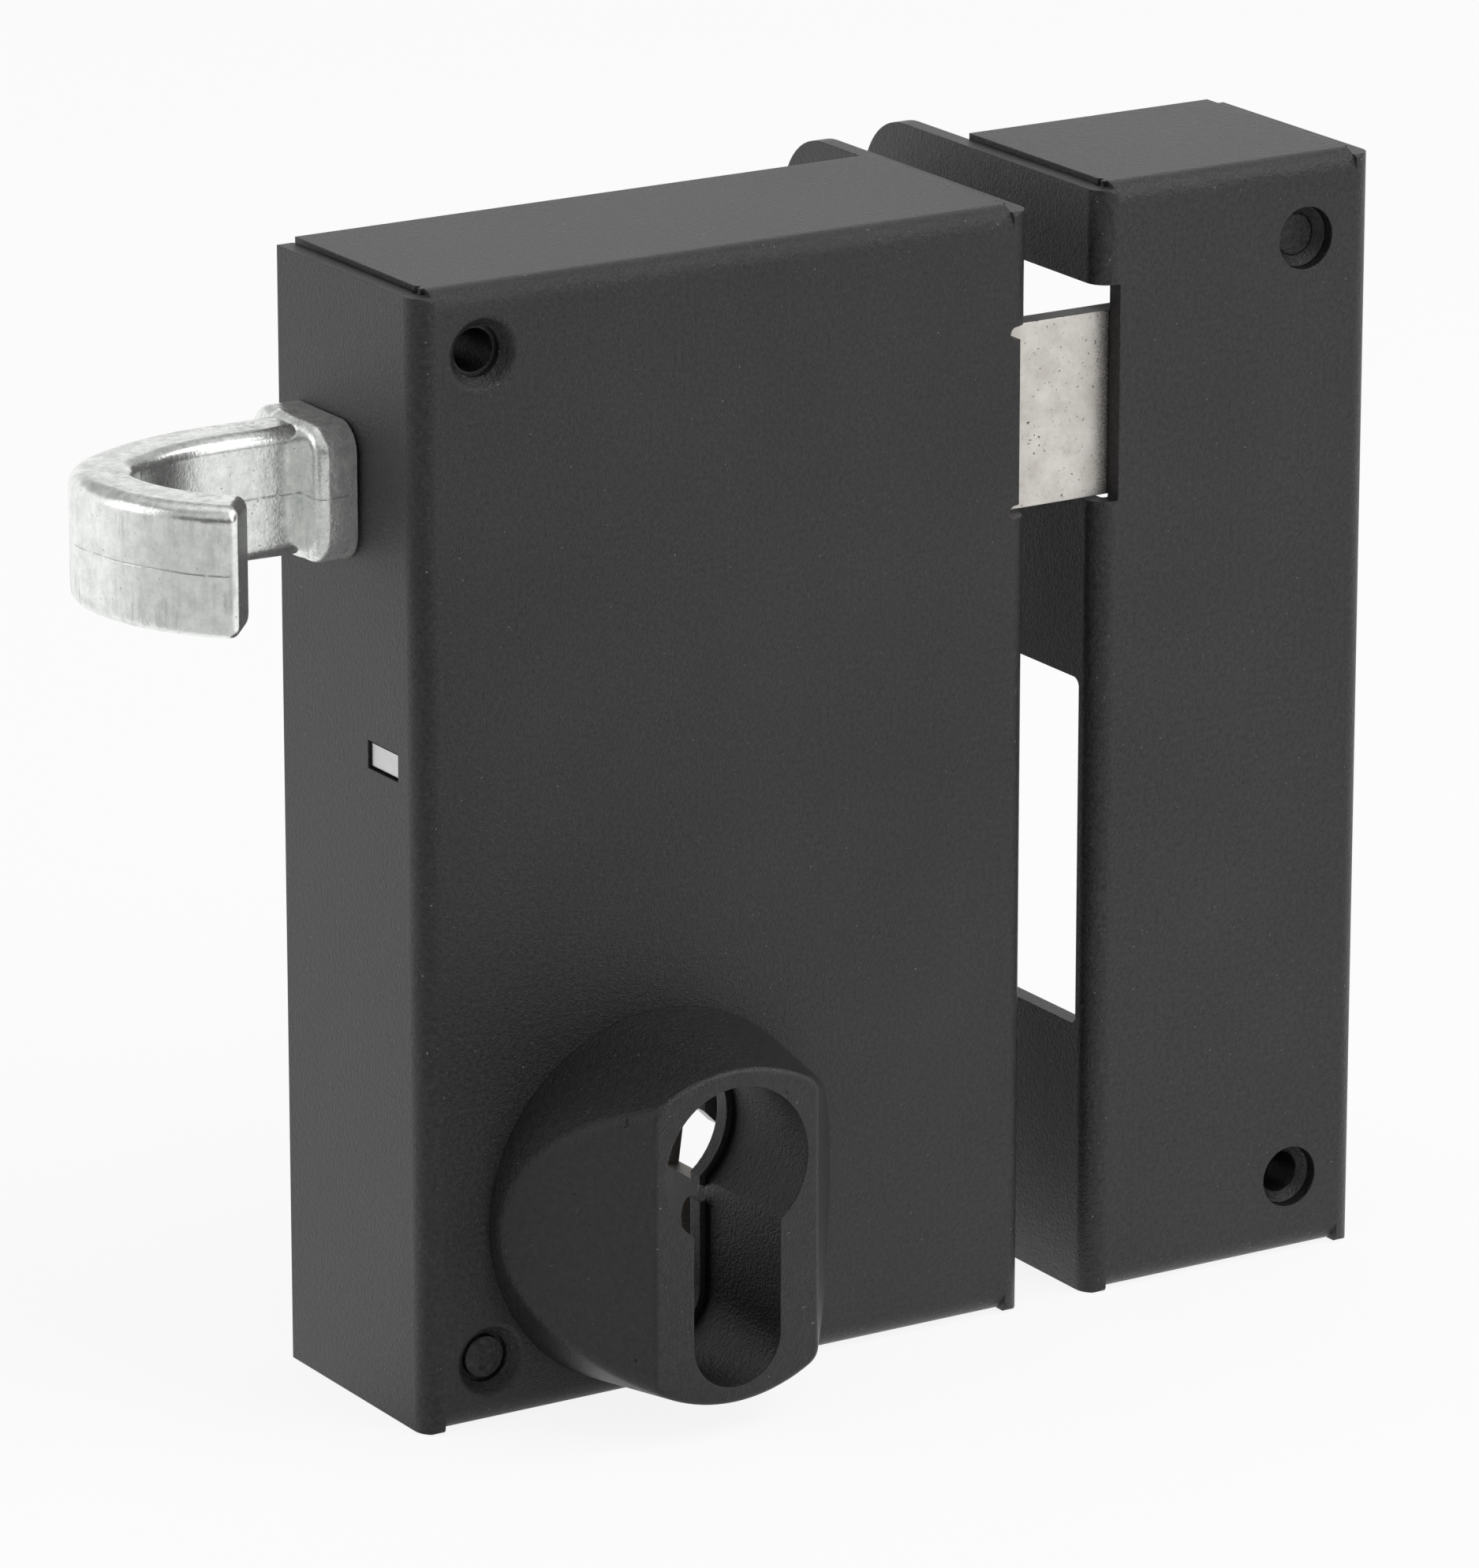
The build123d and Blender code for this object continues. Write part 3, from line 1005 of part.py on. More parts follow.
# Keeper cover: folded like the case, its left side lapping the frame's edge
with BuildPart() as keeper_cover:
    with BuildSketch(Plane.XY.offset(KEEPER_BOTTOM)):
        with BuildLine():
            FilletPolyline(
                (KEEPER_LEFT + SHEET / 2, EDGE_DEPTH),
                (KEEPER_LEFT + SHEET / 2, SHEET / 2),
                (KEEPER_RIGHT - SHEET / 2, SHEET / 2),
                (KEEPER_RIGHT - SHEET / 2, CASE_DEPTH),
                radius=BEND_RADIUS - SHEET / 2,
            )
        trace(line_width=SHEET)
    extrude(amount=KEEPER_HEIGHT)
    with BuildSketch(Plane.YZ.offset(KEEPER_LEFT)) as keeper_outline:
        with BuildLine():
            Polyline(
                *box_points(0, EDGE_DEPTH, KEEPER_BOTTOM, KEEPER_TOP - END_STEP), close=True
            )
        make_face()
        fillet(keeper_outline.vertices().group_by(Axis.X)[0], radius=FLANGE_CORNER)
        fillet(keeper_outline.vertices().group_by(Axis.X)[-1], radius=EDGE_CORNER)
    extrude(amount=KEEPER_WIDTH, mode=Mode.INTERSECT)
    with BuildSketch(Plane.YZ.offset(KEEPER_LEFT + BEND_RADIUS)):
        with Locations((BEND_RADIUS / 2, (KEEPER_BOTTOM + KEEPER_TOP) / 2)):
            Rectangle(BEND_RADIUS, KEEPER_HEIGHT)
            Rectangle(BEND_RADIUS, KEEPER_HEIGHT - 2 * BEND_RADIUS, mode=Mode.SUBTRACT)
    extrude(amount=KEEPER_WIDTH - 2 * BEND_RADIUS, mode=Mode.SUBTRACT)
    with BuildSketch(Plane.YZ.offset(KEEPER_LEFT + BEND_RADIUS)):
        with BuildLine():
            FilletPolyline(
                (CASE_DEPTH, KEEPER_TOP - SHEET / 2),
                (SHEET / 2, KEEPER_TOP - SHEET / 2),
                (SHEET / 2, KEEPER_BOTTOM + SHEET / 2),
                (CASE_DEPTH, KEEPER_BOTTOM + SHEET / 2),
                radius=BEND_RADIUS - SHEET / 2,
            )
        trace(line_width=SHEET)
    extrude(amount=KEEPER_WIDTH - 2 * BEND_RADIUS)
    for height in (KEEPER_BOTTOM, KEEPER_TOP - SHEET):
        with BuildSketch(Plane.XY.offset(height)):
            with Locations(((KEEPER_LEFT + KEEPER_RIGHT) / 2, (BEND_RADIUS + CASE_DEPTH) / 2)):
                Rectangle(KEEPER_WIDTH - 2 * SHEET, CASE_DEPTH - BEND_RADIUS)
        extrude(amount=SHEET)
        with BuildSketch(Plane.XY.offset(height)):
            for side in (KEEPER_LEFT + SHEET + SLIT / 2, KEEPER_RIGHT - SHEET - SLIT / 2):
                with Locations((side, (RELIEF_DEPTH + CASE_DEPTH) / 2)):
                    Rectangle(SLIT, CASE_DEPTH - RELIEF_DEPTH)
                with Locations((side, RELIEF_DEPTH)):
                    Circle(RELIEF_RADIUS)
        extrude(amount=SHEET, mode=Mode.SUBTRACT)
    # Windows for latch and deadbolt; the latch's is cut through the bend
    with BuildSketch(Plane.YZ.offset(KEEPER_LEFT)) as keeper_windows:
        with Locations(
            (KEEPER_WINDOW_DEPTH / 2, (KEEPER_UPPER_TOP + KEEPER_UPPER_BOTTOM) / 2)
        ):
            Rectangle(KEEPER_WINDOW_DEPTH, KEEPER_UPPER_TOP - KEEPER_UPPER_BOTTOM)
        with Locations(
            (
                (KEEPER_LOWER_FRONT + KEEPER_WINDOW_DEPTH) / 2,
                (KEEPER_LOWER_TOP + KEEPER_LOWER_BOTTOM) / 2,
            )
        ):
            Rectangle(
                KEEPER_WINDOW_DEPTH - KEEPER_LOWER_FRONT, KEEPER_LOWER_TOP - KEEPER_LOWER_BOTTOM
            )
        inner_corners = keeper_windows.vertices().filter_by(lambda corner: corner.X > SHEET)
        fillet(inner_corners, radius=KEEPER_WINDOW_CORNER)
    extrude(amount=SHEET, mode=Mode.SUBTRACT)
    with BuildSketch(facing(0)):
        with Locations(
            (KEEPER_LEFT + KEEPER_UPPER_BITE / 2, (KEEPER_UPPER_TOP + KEEPER_UPPER_BOTTOM) / 2)
        ):
            Rectangle(KEEPER_UPPER_BITE, KEEPER_UPPER_TOP - KEEPER_UPPER_BOTTOM)
        with Locations(
            (KEEPER_X, KEEPER_TOP - KEEPER_INSET), (KEEPER_X, KEEPER_BOTTOM + KEEPER_INSET)
        ):
            Circle(KEEPER_RECESS_RADIUS)
    extrude(amount=-BEND_RADIUS, mode=Mode.SUBTRACT)
    # Sunk screw holes where the left side laps the frame
    for height in (LAP_SCREW_LOW, LAP_SCREW_HIGH):
        with Locations(Plane((KEEPER_LEFT, LAP_SCREW_Y, height), z_dir=(-1, 0, 0))):
            CounterSinkHole(LAP_SCREW_RADIUS, LAP_SINK_RADIUS, depth=SHEET)
keeper_cover.part.label = "keeper_cover"

# Sleeves behind the keeper's two holes, each with a sunk stub that reaches into its hole
with BuildPart() as keeper_sleeves:
    for height in (KEEPER_BOTTOM + KEEPER_INSET, KEEPER_TOP - KEEPER_INSET):
        with BuildSketch(facing(SHEET)):
            with Locations((KEEPER_X, height)):
                Circle(KEEPER_SLEEVE_RADIUS)
        extrude(amount=-(CASE_DEPTH - SHEET))
        with BuildSketch(facing(SHEET)):
            with Locations((KEEPER_X, height)):
                Circle(KEEPER_STUB_RADIUS)
        extrude(amount=SHEET - KEEPER_STUB_RECESS)
        with Locations(Plane((KEEPER_X, KEEPER_STUB_RECESS, height), z_dir=(0, -1, 0))):
            CounterSinkHole(
                KEEPER_SLEEVE_BORE,
                KEEPER_STUB_RADIUS - KEEPER_STUB_RIM,
                depth=CASE_DEPTH,
                counter_sink_angle=90,
            )
keeper_sleeves.part.label = "keeper_sleeves"

# Plug that closes the keeper's upper sleeve
with BuildPart() as keeper_plug:
    with BuildSketch(facing(KEEPER_PLUG_RECESS)):
        with Locations((KEEPER_X, KEEPER_TOP - KEEPER_INSET)):
            Circle(KEEPER_SLEEVE_BORE - PLUG_CLEARANCE)
    extrude(amount=-PLUG_LENGTH)
keeper_plug.part.label = "keeper_plug"

# Every piece in its own file
export_step(case_cover.part, "parts/case_cover.step")
export_step(back_plate.part, "parts/back_plate.step")
export_step(case_sleeves.part, "parts/case_sleeves.step")
export_step(case_plug.part, "parts/case_plug.step")
export_step(cover_posts.part, "parts/cover_posts.step")
export_step(back_plate_screws.part, "parts/back_plate_screws.step")
export_step(cylinder_escutcheon.part, "parts/cylinder_escutcheon.step")
export_step(escutcheon_screws.part, "parts/escutcheon_screws.step")
export_step(latch_bolt.part, "parts/latch_bolt.step")
export_step(latch_pin.part, "parts/latch_pin.step")
export_step(guide_post.part, "parts/guide_post.step")
export_step(pull_handle.part, "parts/pull_handle.step")
export_step(handle_screw.part, "parts/handle_screw.step")
export_step(latch_spring.part, "parts/latch_spring.step")
export_step(latch_lever.part, "parts/latch_lever.step")
export_step(lever_pivot.part, "parts/lever_pivot.step")
export_step(shelf_bracket.part, "parts/shelf_bracket.step")
export_step(shelf_rivets.part, "parts/shelf_rivets.step")
export_step(cylinder_bracket.part, "parts/cylinder_bracket.step")
export_step(bracket_rivets.part, "parts/bracket_rivets.step")
export_step(deadbolt_head.part, "parts/deadbolt_head.step")
export_step(deadbolt_tail.part, "parts/deadbolt_tail.step")
export_step(deadbolt_rivets.part, "parts/deadbolt_rivets.step")
export_step(bolt_stud.part, "parts/bolt_stud.step")
export_step(click_spring.part, "parts/click_spring.step")
export_step(click_rivet.part, "parts/click_rivet.step")
export_step(keeper_cover.part, "parts/keeper_cover.step")
export_step(keeper_sleeves.part, "parts/keeper_sleeves.step")
export_step(keeper_plug.part, "parts/keeper_plug.step")
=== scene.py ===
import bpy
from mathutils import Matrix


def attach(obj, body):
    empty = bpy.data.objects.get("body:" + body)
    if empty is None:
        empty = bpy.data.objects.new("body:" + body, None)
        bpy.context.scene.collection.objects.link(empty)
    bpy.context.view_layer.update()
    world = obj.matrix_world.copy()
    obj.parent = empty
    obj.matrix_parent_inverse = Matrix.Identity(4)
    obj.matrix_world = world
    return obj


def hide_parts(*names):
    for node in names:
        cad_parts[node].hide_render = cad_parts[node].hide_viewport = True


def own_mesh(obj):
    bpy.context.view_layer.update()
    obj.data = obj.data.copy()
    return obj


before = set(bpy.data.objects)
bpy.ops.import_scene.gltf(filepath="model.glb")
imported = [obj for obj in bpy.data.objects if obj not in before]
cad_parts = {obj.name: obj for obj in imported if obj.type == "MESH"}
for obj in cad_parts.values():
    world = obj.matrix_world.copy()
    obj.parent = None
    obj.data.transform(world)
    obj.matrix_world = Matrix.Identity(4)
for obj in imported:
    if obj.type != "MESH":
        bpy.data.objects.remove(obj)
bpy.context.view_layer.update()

import math
import bmesh
import bpy
from mathutils import Vector

MM = 0.001

# Where things lie on the lock, in millimetres from the cylinder's axis and the case's front face
LOCK_MIDDLE = (20, 10, 32)
FLOOR = -30.2
HOOK_MIDDLE = 71.2
COLLAR_START = -34.0
# LATCH_SHADE_START and LATCH_SHADE_END bound the painted shade towards the latch's turned end
LATCH_SHADE_START = 56.4
LATCH_SHADE_END = 58.8

# The latch's spring, along the line of the wire's centre
SPRING_START = -26.45
SPRING_END = -6.55
SPRING_MIDDLE = (19.4, 71.2)
SPRING_RADIUS = 5.1
SPRING_WIRE = 0.45
SPRING_TURNS = 6
SPRING_CLOSING = 0.55
SPRING_STEPS = 36
WIRE_SIDES = 12

# The coat's grain: clouds to the metre for its three sizes and for the drift of its tone
COAT_LEATHER = 2000
COAT_COARSE = 3500
COAT_FINE = 7000
COAT_DRIFT = 45
COAT_SPECKS = 2900
COAT_PITS = 620
EDGE_SOFTNESS = 0.2
COAT_EDGE_SOFTNESS = 0.25

# Colours of the bare metals
HOOK_LIGHT = (0.94, 0.955, 0.925, 1)
HOOK_DARK = (0.74, 0.765, 0.75, 1)
# HOOK_STAIN_AND_SHADE colours both the hook's real streaks and its painted shade where it faces up
HOOK_STAIN_AND_SHADE = (0.44, 0.45, 0.43, 1)
LATCH_WARM = (0.75, 0.70, 0.65, 1)
LATCH_COOL = (0.75, 0.745, 0.71, 1)
LATCH_DARK = (0.60, 0.57, 0.525, 1)

# The studio: how light the surround looks in gloss, and how strongly the air lights the lock
DARK_SIDE = (-0.75, -0.66, 0.0)
DARK_SIDE_TONE = 0.6
HIGH_BAND_TONE = 0.48
LOW_BAND_TONE = 0.12
AIR_LIGHT = 0.6
FLOOR_SHADE = 0.12
FLOOR_REACH = 4000

# The softboxes: place, width and height in millimetres, and power in watts
SOFTBOXES = {
    "overhead_box": ((470, -390, 700), 800, 400, 3.15),
    "left_box": ((-900, 350, 400), 500, 700, 1.2),
    "front_box": ((500, -900, 420), 600, 500, 1.0),
}

# The camera: turned to the right of the case's depth and looking down
CAMERA_EYE = (-497.52, -818.2, 330.56)
CAMERA_TURN = 31.82
CAMERA_DIP = 16.986
SENSOR_WIDTH = 36.0
LENS_PIXELS = 12000
FRAME_PIXELS = 1988


class Wire:
    """A socket's value in a finish; sums and products of wires add the nodes for them."""

    def __init__(self, finish, socket):
        self.finish = finish
        self.socket = socket

    def math(self, operation, first, second=0.0):
        return self.finish.node("ShaderNodeMath", {"operation": operation}, {0: first, 1: second})

    def __add__(self, other):
        return self.math("ADD", self, other)

    def __radd__(self, other):
        return self.math("ADD", other, self)

    def __sub__(self, other):
        return self.math("SUBTRACT", self, other)

    def __rsub__(self, other):
        return self.math("SUBTRACT", other, self)

    def __mul__(self, other):
        return self.math("MULTIPLY", self, other)

    def __rmul__(self, other):
        return self.math("MULTIPLY", other, self)

    def __truediv__(self, other):
        return self.math("DIVIDE", self, other)

    def above(self, other):
        return self.math("GREATER_THAN", self, other)

    def size(self):
        return self.math("ABSOLUTE", self)

    def least(self, other):
        return self.math("MINIMUM", self, other)


class Finish:
    """One material, or the studio's air, and the nodes in it."""

    def __init__(self, owner, coordinate="Object"):
        owner.use_nodes = True
        self.owner = owner
        self.tree = owner.node_tree
        self.tree.nodes.clear()
        self.place = self.node("ShaderNodeTexCoord", pick=coordinate)

    @classmethod
    def named(cls, name):
        return cls(bpy.data.materials.new(name))

    def node(self, kind, settings=None, sockets=None, pick=None):
        made = self.tree.nodes.new(kind)
        for key, value in (settings or {}).items():
            if key == "stops":
                ramp = made.color_ramp.elements
                for index, (spot, tone) in enumerate(value):
                    stop = ramp[index] if index < 2 else ramp.new(spot)
                    stop.position, stop.color = spot, (tone, tone, tone, 1)
            else:
                setattr(made, key, value)
        for key, value in (sockets or {}).items():
            goal = made.inputs[key] if isinstance(key, int) else self.find(made.inputs, key)
            if isinstance(value, Wire):
                self.tree.links.new(value.socket, goal)
            else:
                goal.default_value = value
        out = self.find(made.outputs, pick) if pick else next(o for o in made.outputs if o.enabled)
        return Wire(self, out)

    def find(self, sockets, name):
        return next(s for s in sockets if s.enabled and s.name == name)

    def noise(self, scale, detail=2.0, roughness=0.5, place=None):
        """Clouds about 0.5, as many to the metre as the scale says."""
        sockets = {
            "Vector": place or self.place,
            "Scale": scale,
            "Detail": detail,
            "Roughness": roughness,
        }
        return self.node("ShaderNodeTexNoise", sockets=sockets)

    def ramp(self, value, *stops):
        """The value put through stops of spot and tone."""
        return self.node("ShaderNodeValToRGB", {"stops": stops}, {"Fac": value})

    def tint(self, factor, first, second):
        """From the first colour at 0 to the second at 1."""
        return self.node(
            "ShaderNodeMix", {"data_type": "RGBA"}, {"Factor": factor, "A": first, "B": second}
        )

    def facing(self, name):
        """How far the surface faces along one axis, from -1 to 1."""
        normal = self.node("ShaderNodeNewGeometry", pick="True Normal")
        return self.node("ShaderNodeSeparateXYZ", sockets={"Vector": normal}, pick=name)

    def axis(self, name):
        return self.node("ShaderNodeSeparateXYZ", sockets={"Vector": self.place}, pick=name)

    def bump(self, height, depth, strength=1.0, under=None):
        """A relief of the height, as deep as said, laid over the normal under it."""
        sockets = {"Height": height, "Distance": depth, "Strength": strength}
        if under:
            sockets["Normal"] = under
        return self.node("ShaderNodeBump", sockets=sockets)

    def soft_edges(self, radius):
        """Edges shaded as if they were rounded."""
        return self.node("ShaderNodeBevel", {"samples": 6}, {"Radius": radius})

    def close(self, **sockets):
        named = {key.replace("_", " "): value for key, value in sockets.items()}
        shader = self.node("ShaderNodeBsdfPrincipled", sockets=named)
        return self.show(shader)

    def show(self, shader, output="ShaderNodeOutputMaterial"):
        out = self.tree.nodes.new(output)
        self.tree.links.new(shader.socket, out.inputs["Surface"])
        return self.owner


def grey(value, warmth=0.0):
    return (value * (1 + warmth), value, value * (1 - warmth), 1)


def coat(value):
    """The coat's charcoal, a touch warmer than grey."""
    return (value * 1.08, value * 0.96, value, 1)


def powder_coat(
    name, tone, grain=1.0, depth=0.22, roughness=0.37, sparkle=0.773, pits=0.0, contrast=3.4
):
    """Charcoal powder coat: a fine grain over a faint leather, with light specks and dark pits."""
    f = Finish.named(name)
    leather = f.noise(COAT_LEATHER / grain, 2.0, 0.55)
    coarse = f.noise(COAT_COARSE / grain, 3.0, 0.6)
    fine = f.noise(COAT_FINE / grain, 2.0, 0.6)
    drift = f.noise(COAT_DRIFT, 2.0)
    shade = 0.5 + contrast * (0.5 * leather + 0.35 * coarse + 0.15 * drift - 0.5)
    color = f.tint(shade, coat(tone * 0.15), coat(tone * 1.85))
    speck = f.ramp(f.noise(COAT_SPECKS, 1.0, 0.3), (0.0, 0), (sparkle, 0), (sparkle + 0.03, 1))
    color = f.tint(speck, color, coat(tone * 12))
    height = 0.3 * leather + 0.5 * coarse + 0.25 * fine
    if pits:
        pit = f.ramp(f.noise(COAT_PITS, 2.0, 0.5), (0.0, 1), (pits, 1), (pits + 0.02, 0))
        color = f.tint(pit, color, coat(0.001))
        height = height - 1.5 * pit
    return f.close(
        Base_Color=color,
        Roughness=roughness + 0.16 * (fine - 0.5),
        Normal=f.bump(height, depth * MM, 1.0, f.soft_edges(COAT_EDGE_SOFTNESS * MM)),
    )


def cast_zinc(name):
    """Bright die casting, lightly tumbled: mottled and streaked, with painted shade where it faces
    up, with specks, a wandering parting line, and painted glints on its collar."""
    f = Finish.named(name)
    upright = f.node("ShaderNodeMapping", sockets={"Vector": f.place, "Scale": (1, 1, 0.16)})
    ripple = f.noise(240, 3.0, 0.55)
    mottle = f.noise(620, 5.0, 0.7)
    grain = f.noise(3200, 2.0, 0.6)
    streak = f.ramp(f.noise(1300, 4.0, 0.65, upright), (0.48, 0), (0.60, 1))
    patch = f.ramp(f.noise(90, 2.0), (0.45, 0.15), (0.58, 1))
    speck = f.ramp(f.noise(2900, 3.0, 0.65), (0.0, 1), (0.285, 1), (0.33, 0))
    wander = 0.5 * (f.noise(120, 2.0) - 0.5)
    off_line = ((f.axis("Z") - HOOK_MIDDLE * MM) * (1 / MM) + wander).size()
    broken = f.ramp(f.noise(500, 2.0), (0.42, 0.15), (0.5, 1))
    line = f.ramp(off_line, (0.0, 1), (0.04, 1), (0.14, 0)) * broken
    collar = (f.axis("X") - COLLAR_START * MM).above(0.0)
    upward = f.ramp(f.facing("Z"), (0.5, 0), (0.9, 1))
    # painted shade: mottled darkening of the faces that point up, standing in for their darker
    # reflections
    painted_top_shade = upward * f.ramp(mottle, (0.40, 1), (0.60, 0.15))
    # painted glints: near-white flecks on the collar standing in for its sparkling highlights
    painted_glint = f.ramp(f.noise(3300, 2.0, 0.6), (0.0, 0), (0.59, 0), (0.64, 1)) * collar
    color = f.tint(f.ramp(mottle, (0.35, 0), (0.62, 1)), HOOK_DARK, HOOK_LIGHT)
    color = f.tint(streak * patch * 0.55, color, HOOK_STAIN_AND_SHADE)
    color = f.tint(speck * 0.6, color, grey(0.16))
    color = f.tint(line * 0.45, color, grey(0.2))
    color = f.tint(painted_top_shade * 0.45, color, HOOK_STAIN_AND_SHADE)
    # the painted glints are laid over the colour here
    color = f.tint(painted_glint, color, grey(0.95))
    height = ripple * 0.8 + grain * 0.2 + mottle * 0.3 - speck * 0.3 - line * 0.3
    return f.close(
        Base_Color=color,
        Metallic=0.92 - 0.17 * collar,
        Roughness=0.21 + 0.1 * streak * patch + 0.2 * speck + 0.14 * (grain - 0.5),
        Normal=f.bump(height + collar * mottle * 1.2, 0.07 * MM, 0.9),
    )


def latch_steel(name):
    """Nickel plated plate with fine pits, with painted shade at its edges and towards its turned
    end.
    """
    f = Finish.named(name)
    cloud = f.noise(330, 5.0, 0.7)
    tinge = f.noise(150, 2.0)
    grain = f.noise(4200, 2.0, 0.6)
    pit = f.ramp(f.noise(2300, 3.0, 0.6), (0.0, 1), (0.30, 1), (0.34, 0))
    smear = f.ramp(f.noise(900, 4.0, 0.7), (0.60, 0), (0.72, 1))
    shade_length = (LATCH_SHADE_END - LATCH_SHADE_START) * MM
    along = (f.axis("X") - LATCH_SHADE_START * MM) / shade_length
    # painted shade: darker towards the turned end, where the keeper's shadow and dark reflection
    # fall
    painted_tip_shade = f.ramp(along + 1.1 * (grain - 0.5), (0.15, 0), (0.95, 1))
    # painted shade on the edge faces, those that face neither front nor back
    painted_edge_shade = 1 - f.facing("Y").size()
    light = f.tint(tinge, LATCH_COOL, LATCH_WARM)
    color = f.tint(f.ramp(cloud, (0.35, 0), (0.65, 1)), LATCH_DARK, light)
    color = f.tint(smear * 0.35, color, grey(0.3, 0.03))
    color = f.tint(pit * 0.85, color, grey(0.05))
    # both painted shades, at the tip and on the edge faces, darken the colour here
    color = f.tint((painted_tip_shade + painted_edge_shade).least(1.0) * 0.93, color, grey(0.045, 0.05))
    height = cloud * 0.3 + grain * 0.5 - pit * 0.5
    return f.close(
        Base_Color=color,
        Metallic=0.5,
        Roughness=0.45 + 0.2 * pit + 0.15 * painted_tip_shade + 0.2 * (grain - 0.5),
        Normal=f.bump(height, 0.06 * MM, 0.8, f.soft_edges(EDGE_SOFTNESS * MM)),
    )


def zinc_plated(name, tone=0.55, streak=(1, 1, 1), roughness=0.38):
    """Zinc plating: faint clouding over a fine grain."""
    f = Finish.named(name)
    place = f.node("ShaderNodeMapping", sockets={"Vector": f.place, "Scale": streak})
    cloud = f.noise(180, 4.0, 0.6, place)
    grain = f.noise(3600, 2.0, 0.6)
    color = f.tint(cloud, grey(tone * 0.78), grey(tone * 1.15))
    return f.close(
        Base_Color=color,
        Metallic=1.0,
        Roughness=roughness + 0.14 * (grain - 0.5) + 0.1 * (cloud - 0.5),
        Normal=f.bump(grain, 0.012 * MM, 0.8, f.soft_edges(EDGE_SOFTNESS * MM)),
    )


def bracket_steel(name):
    """Dark rolled plate with bare sheared edges."""
    f = Finish.named(name)
    cloud = f.noise(240, 4.0, 0.6)
    grain = f.noise(3000, 2.0, 0.6)
    sheared = f.ramp(f.facing("X").size(), (0.4, 1), (0.7, 0))
    color = f.tint(cloud, grey(0.02), grey(0.045, 0.03))
    color = f.tint(sheared, color, grey(0.5, 0.08))
    return f.close(
        Base_Color=color,
        Metallic=0.3,
        Roughness=0.5 + 0.2 * (grain - 0.5),
        Normal=f.bump(grain, 0.03 * MM, 0.8),
    )


def ray(f, kind):
    """1 for rays of one kind, such as those from the camera, and 0 for the others."""
    return f.node("ShaderNodeLightPath", pick=kind)


def gloss_rays(f):
    """1 for rays that are mirrored or pass through, and 0 for the others."""
    return (ray(f, "Is Glossy Ray") + ray(f, "Is Transmission Ray")).least(1.0)


def surround(f):
    """What shines back from each side: white, and darker in front on the left, past the camera."""
    flat = f.node("ShaderNodeVectorMath", {"operation": "MULTIPLY"}, {0: f.place, 1: (1, 1, 0)})
    level = f.node("ShaderNodeVectorMath", {"operation": "NORMALIZE"}, {0: flat})
    toward = f.node(
        "ShaderNodeVectorMath", {"operation": "DOT_PRODUCT"}, {0: level, 1: DARK_SIDE}, pick="Value"
    )
    return f.ramp(toward, (0.2, 1.0), (0.7, DARK_SIDE_TONE))


def white_floor():
    """White to the camera, in metal and in gloss, with a soft shadow under the lock."""
    f = Finish.named("white_floor")
    white = f.node("ShaderNodeEmission", sockets={"Color": grey(1.0), "Strength": 1.0})
    lit = f.node("ShaderNodeBsdfDiffuse", sockets={"Color": grey(0.9)})
    mirrored = f.node("ShaderNodeEmission", sockets={"Color": surround(f), "Strength": 1.0})
    whiteness = ray(f, "Is Camera Ray") * (1 - FLOOR_SHADE)
    seen = f.node("ShaderNodeMixShader", sockets={0: whiteness, 1: lit, 2: white})
    return f.show(f.node("ShaderNodeMixShader", sockets={0: gloss_rays(f), 1: seen, 2: mirrored}))


def studio_air():
    """White to the camera, and a plain soft light for everything else. In gloss it is white too,
    with a darker band high up behind and a dark one low down in front."""
    f = Finish(bpy.data.worlds.new("studio_air"), "Generated")
    soft = f.node("ShaderNodeBackground", sockets={"Color": grey(1.0), "Strength": AIR_LIGHT})
    white = f.node("ShaderNodeBackground", sockets={"Color": grey(1.0), "Strength": 1.0})
    up = f.axis("Z")
    back = f.ramp(up, (0.31, 1.0), (0.5, HIGH_BAND_TONE), (0.75, HIGH_BAND_TONE), (0.95, 1.0))
    front = f.ramp(up, (0.0, LOW_BAND_TONE), (0.28, LOW_BAND_TONE), (0.5, 1.0))
    ahead = f.ramp(f.axis("Y") + 0.5, (0.3, 1), (0.5, 0))
    tone = ahead * front + (1 - ahead) * back
    around = surround(f) * tone
    mirrored = f.node("ShaderNodeBackground", sockets={"Color": around, "Strength": 1.0})
    seen = f.node("ShaderNodeMixShader", sockets={0: ray(f, "Is Camera Ray"), 1: soft, 2: white})
    air = f.node("ShaderNodeMixShader", sockets={0: gloss_rays(f), 1: seen, 2: mirrored})
    return f.show(air, "ShaderNodeOutputWorld")


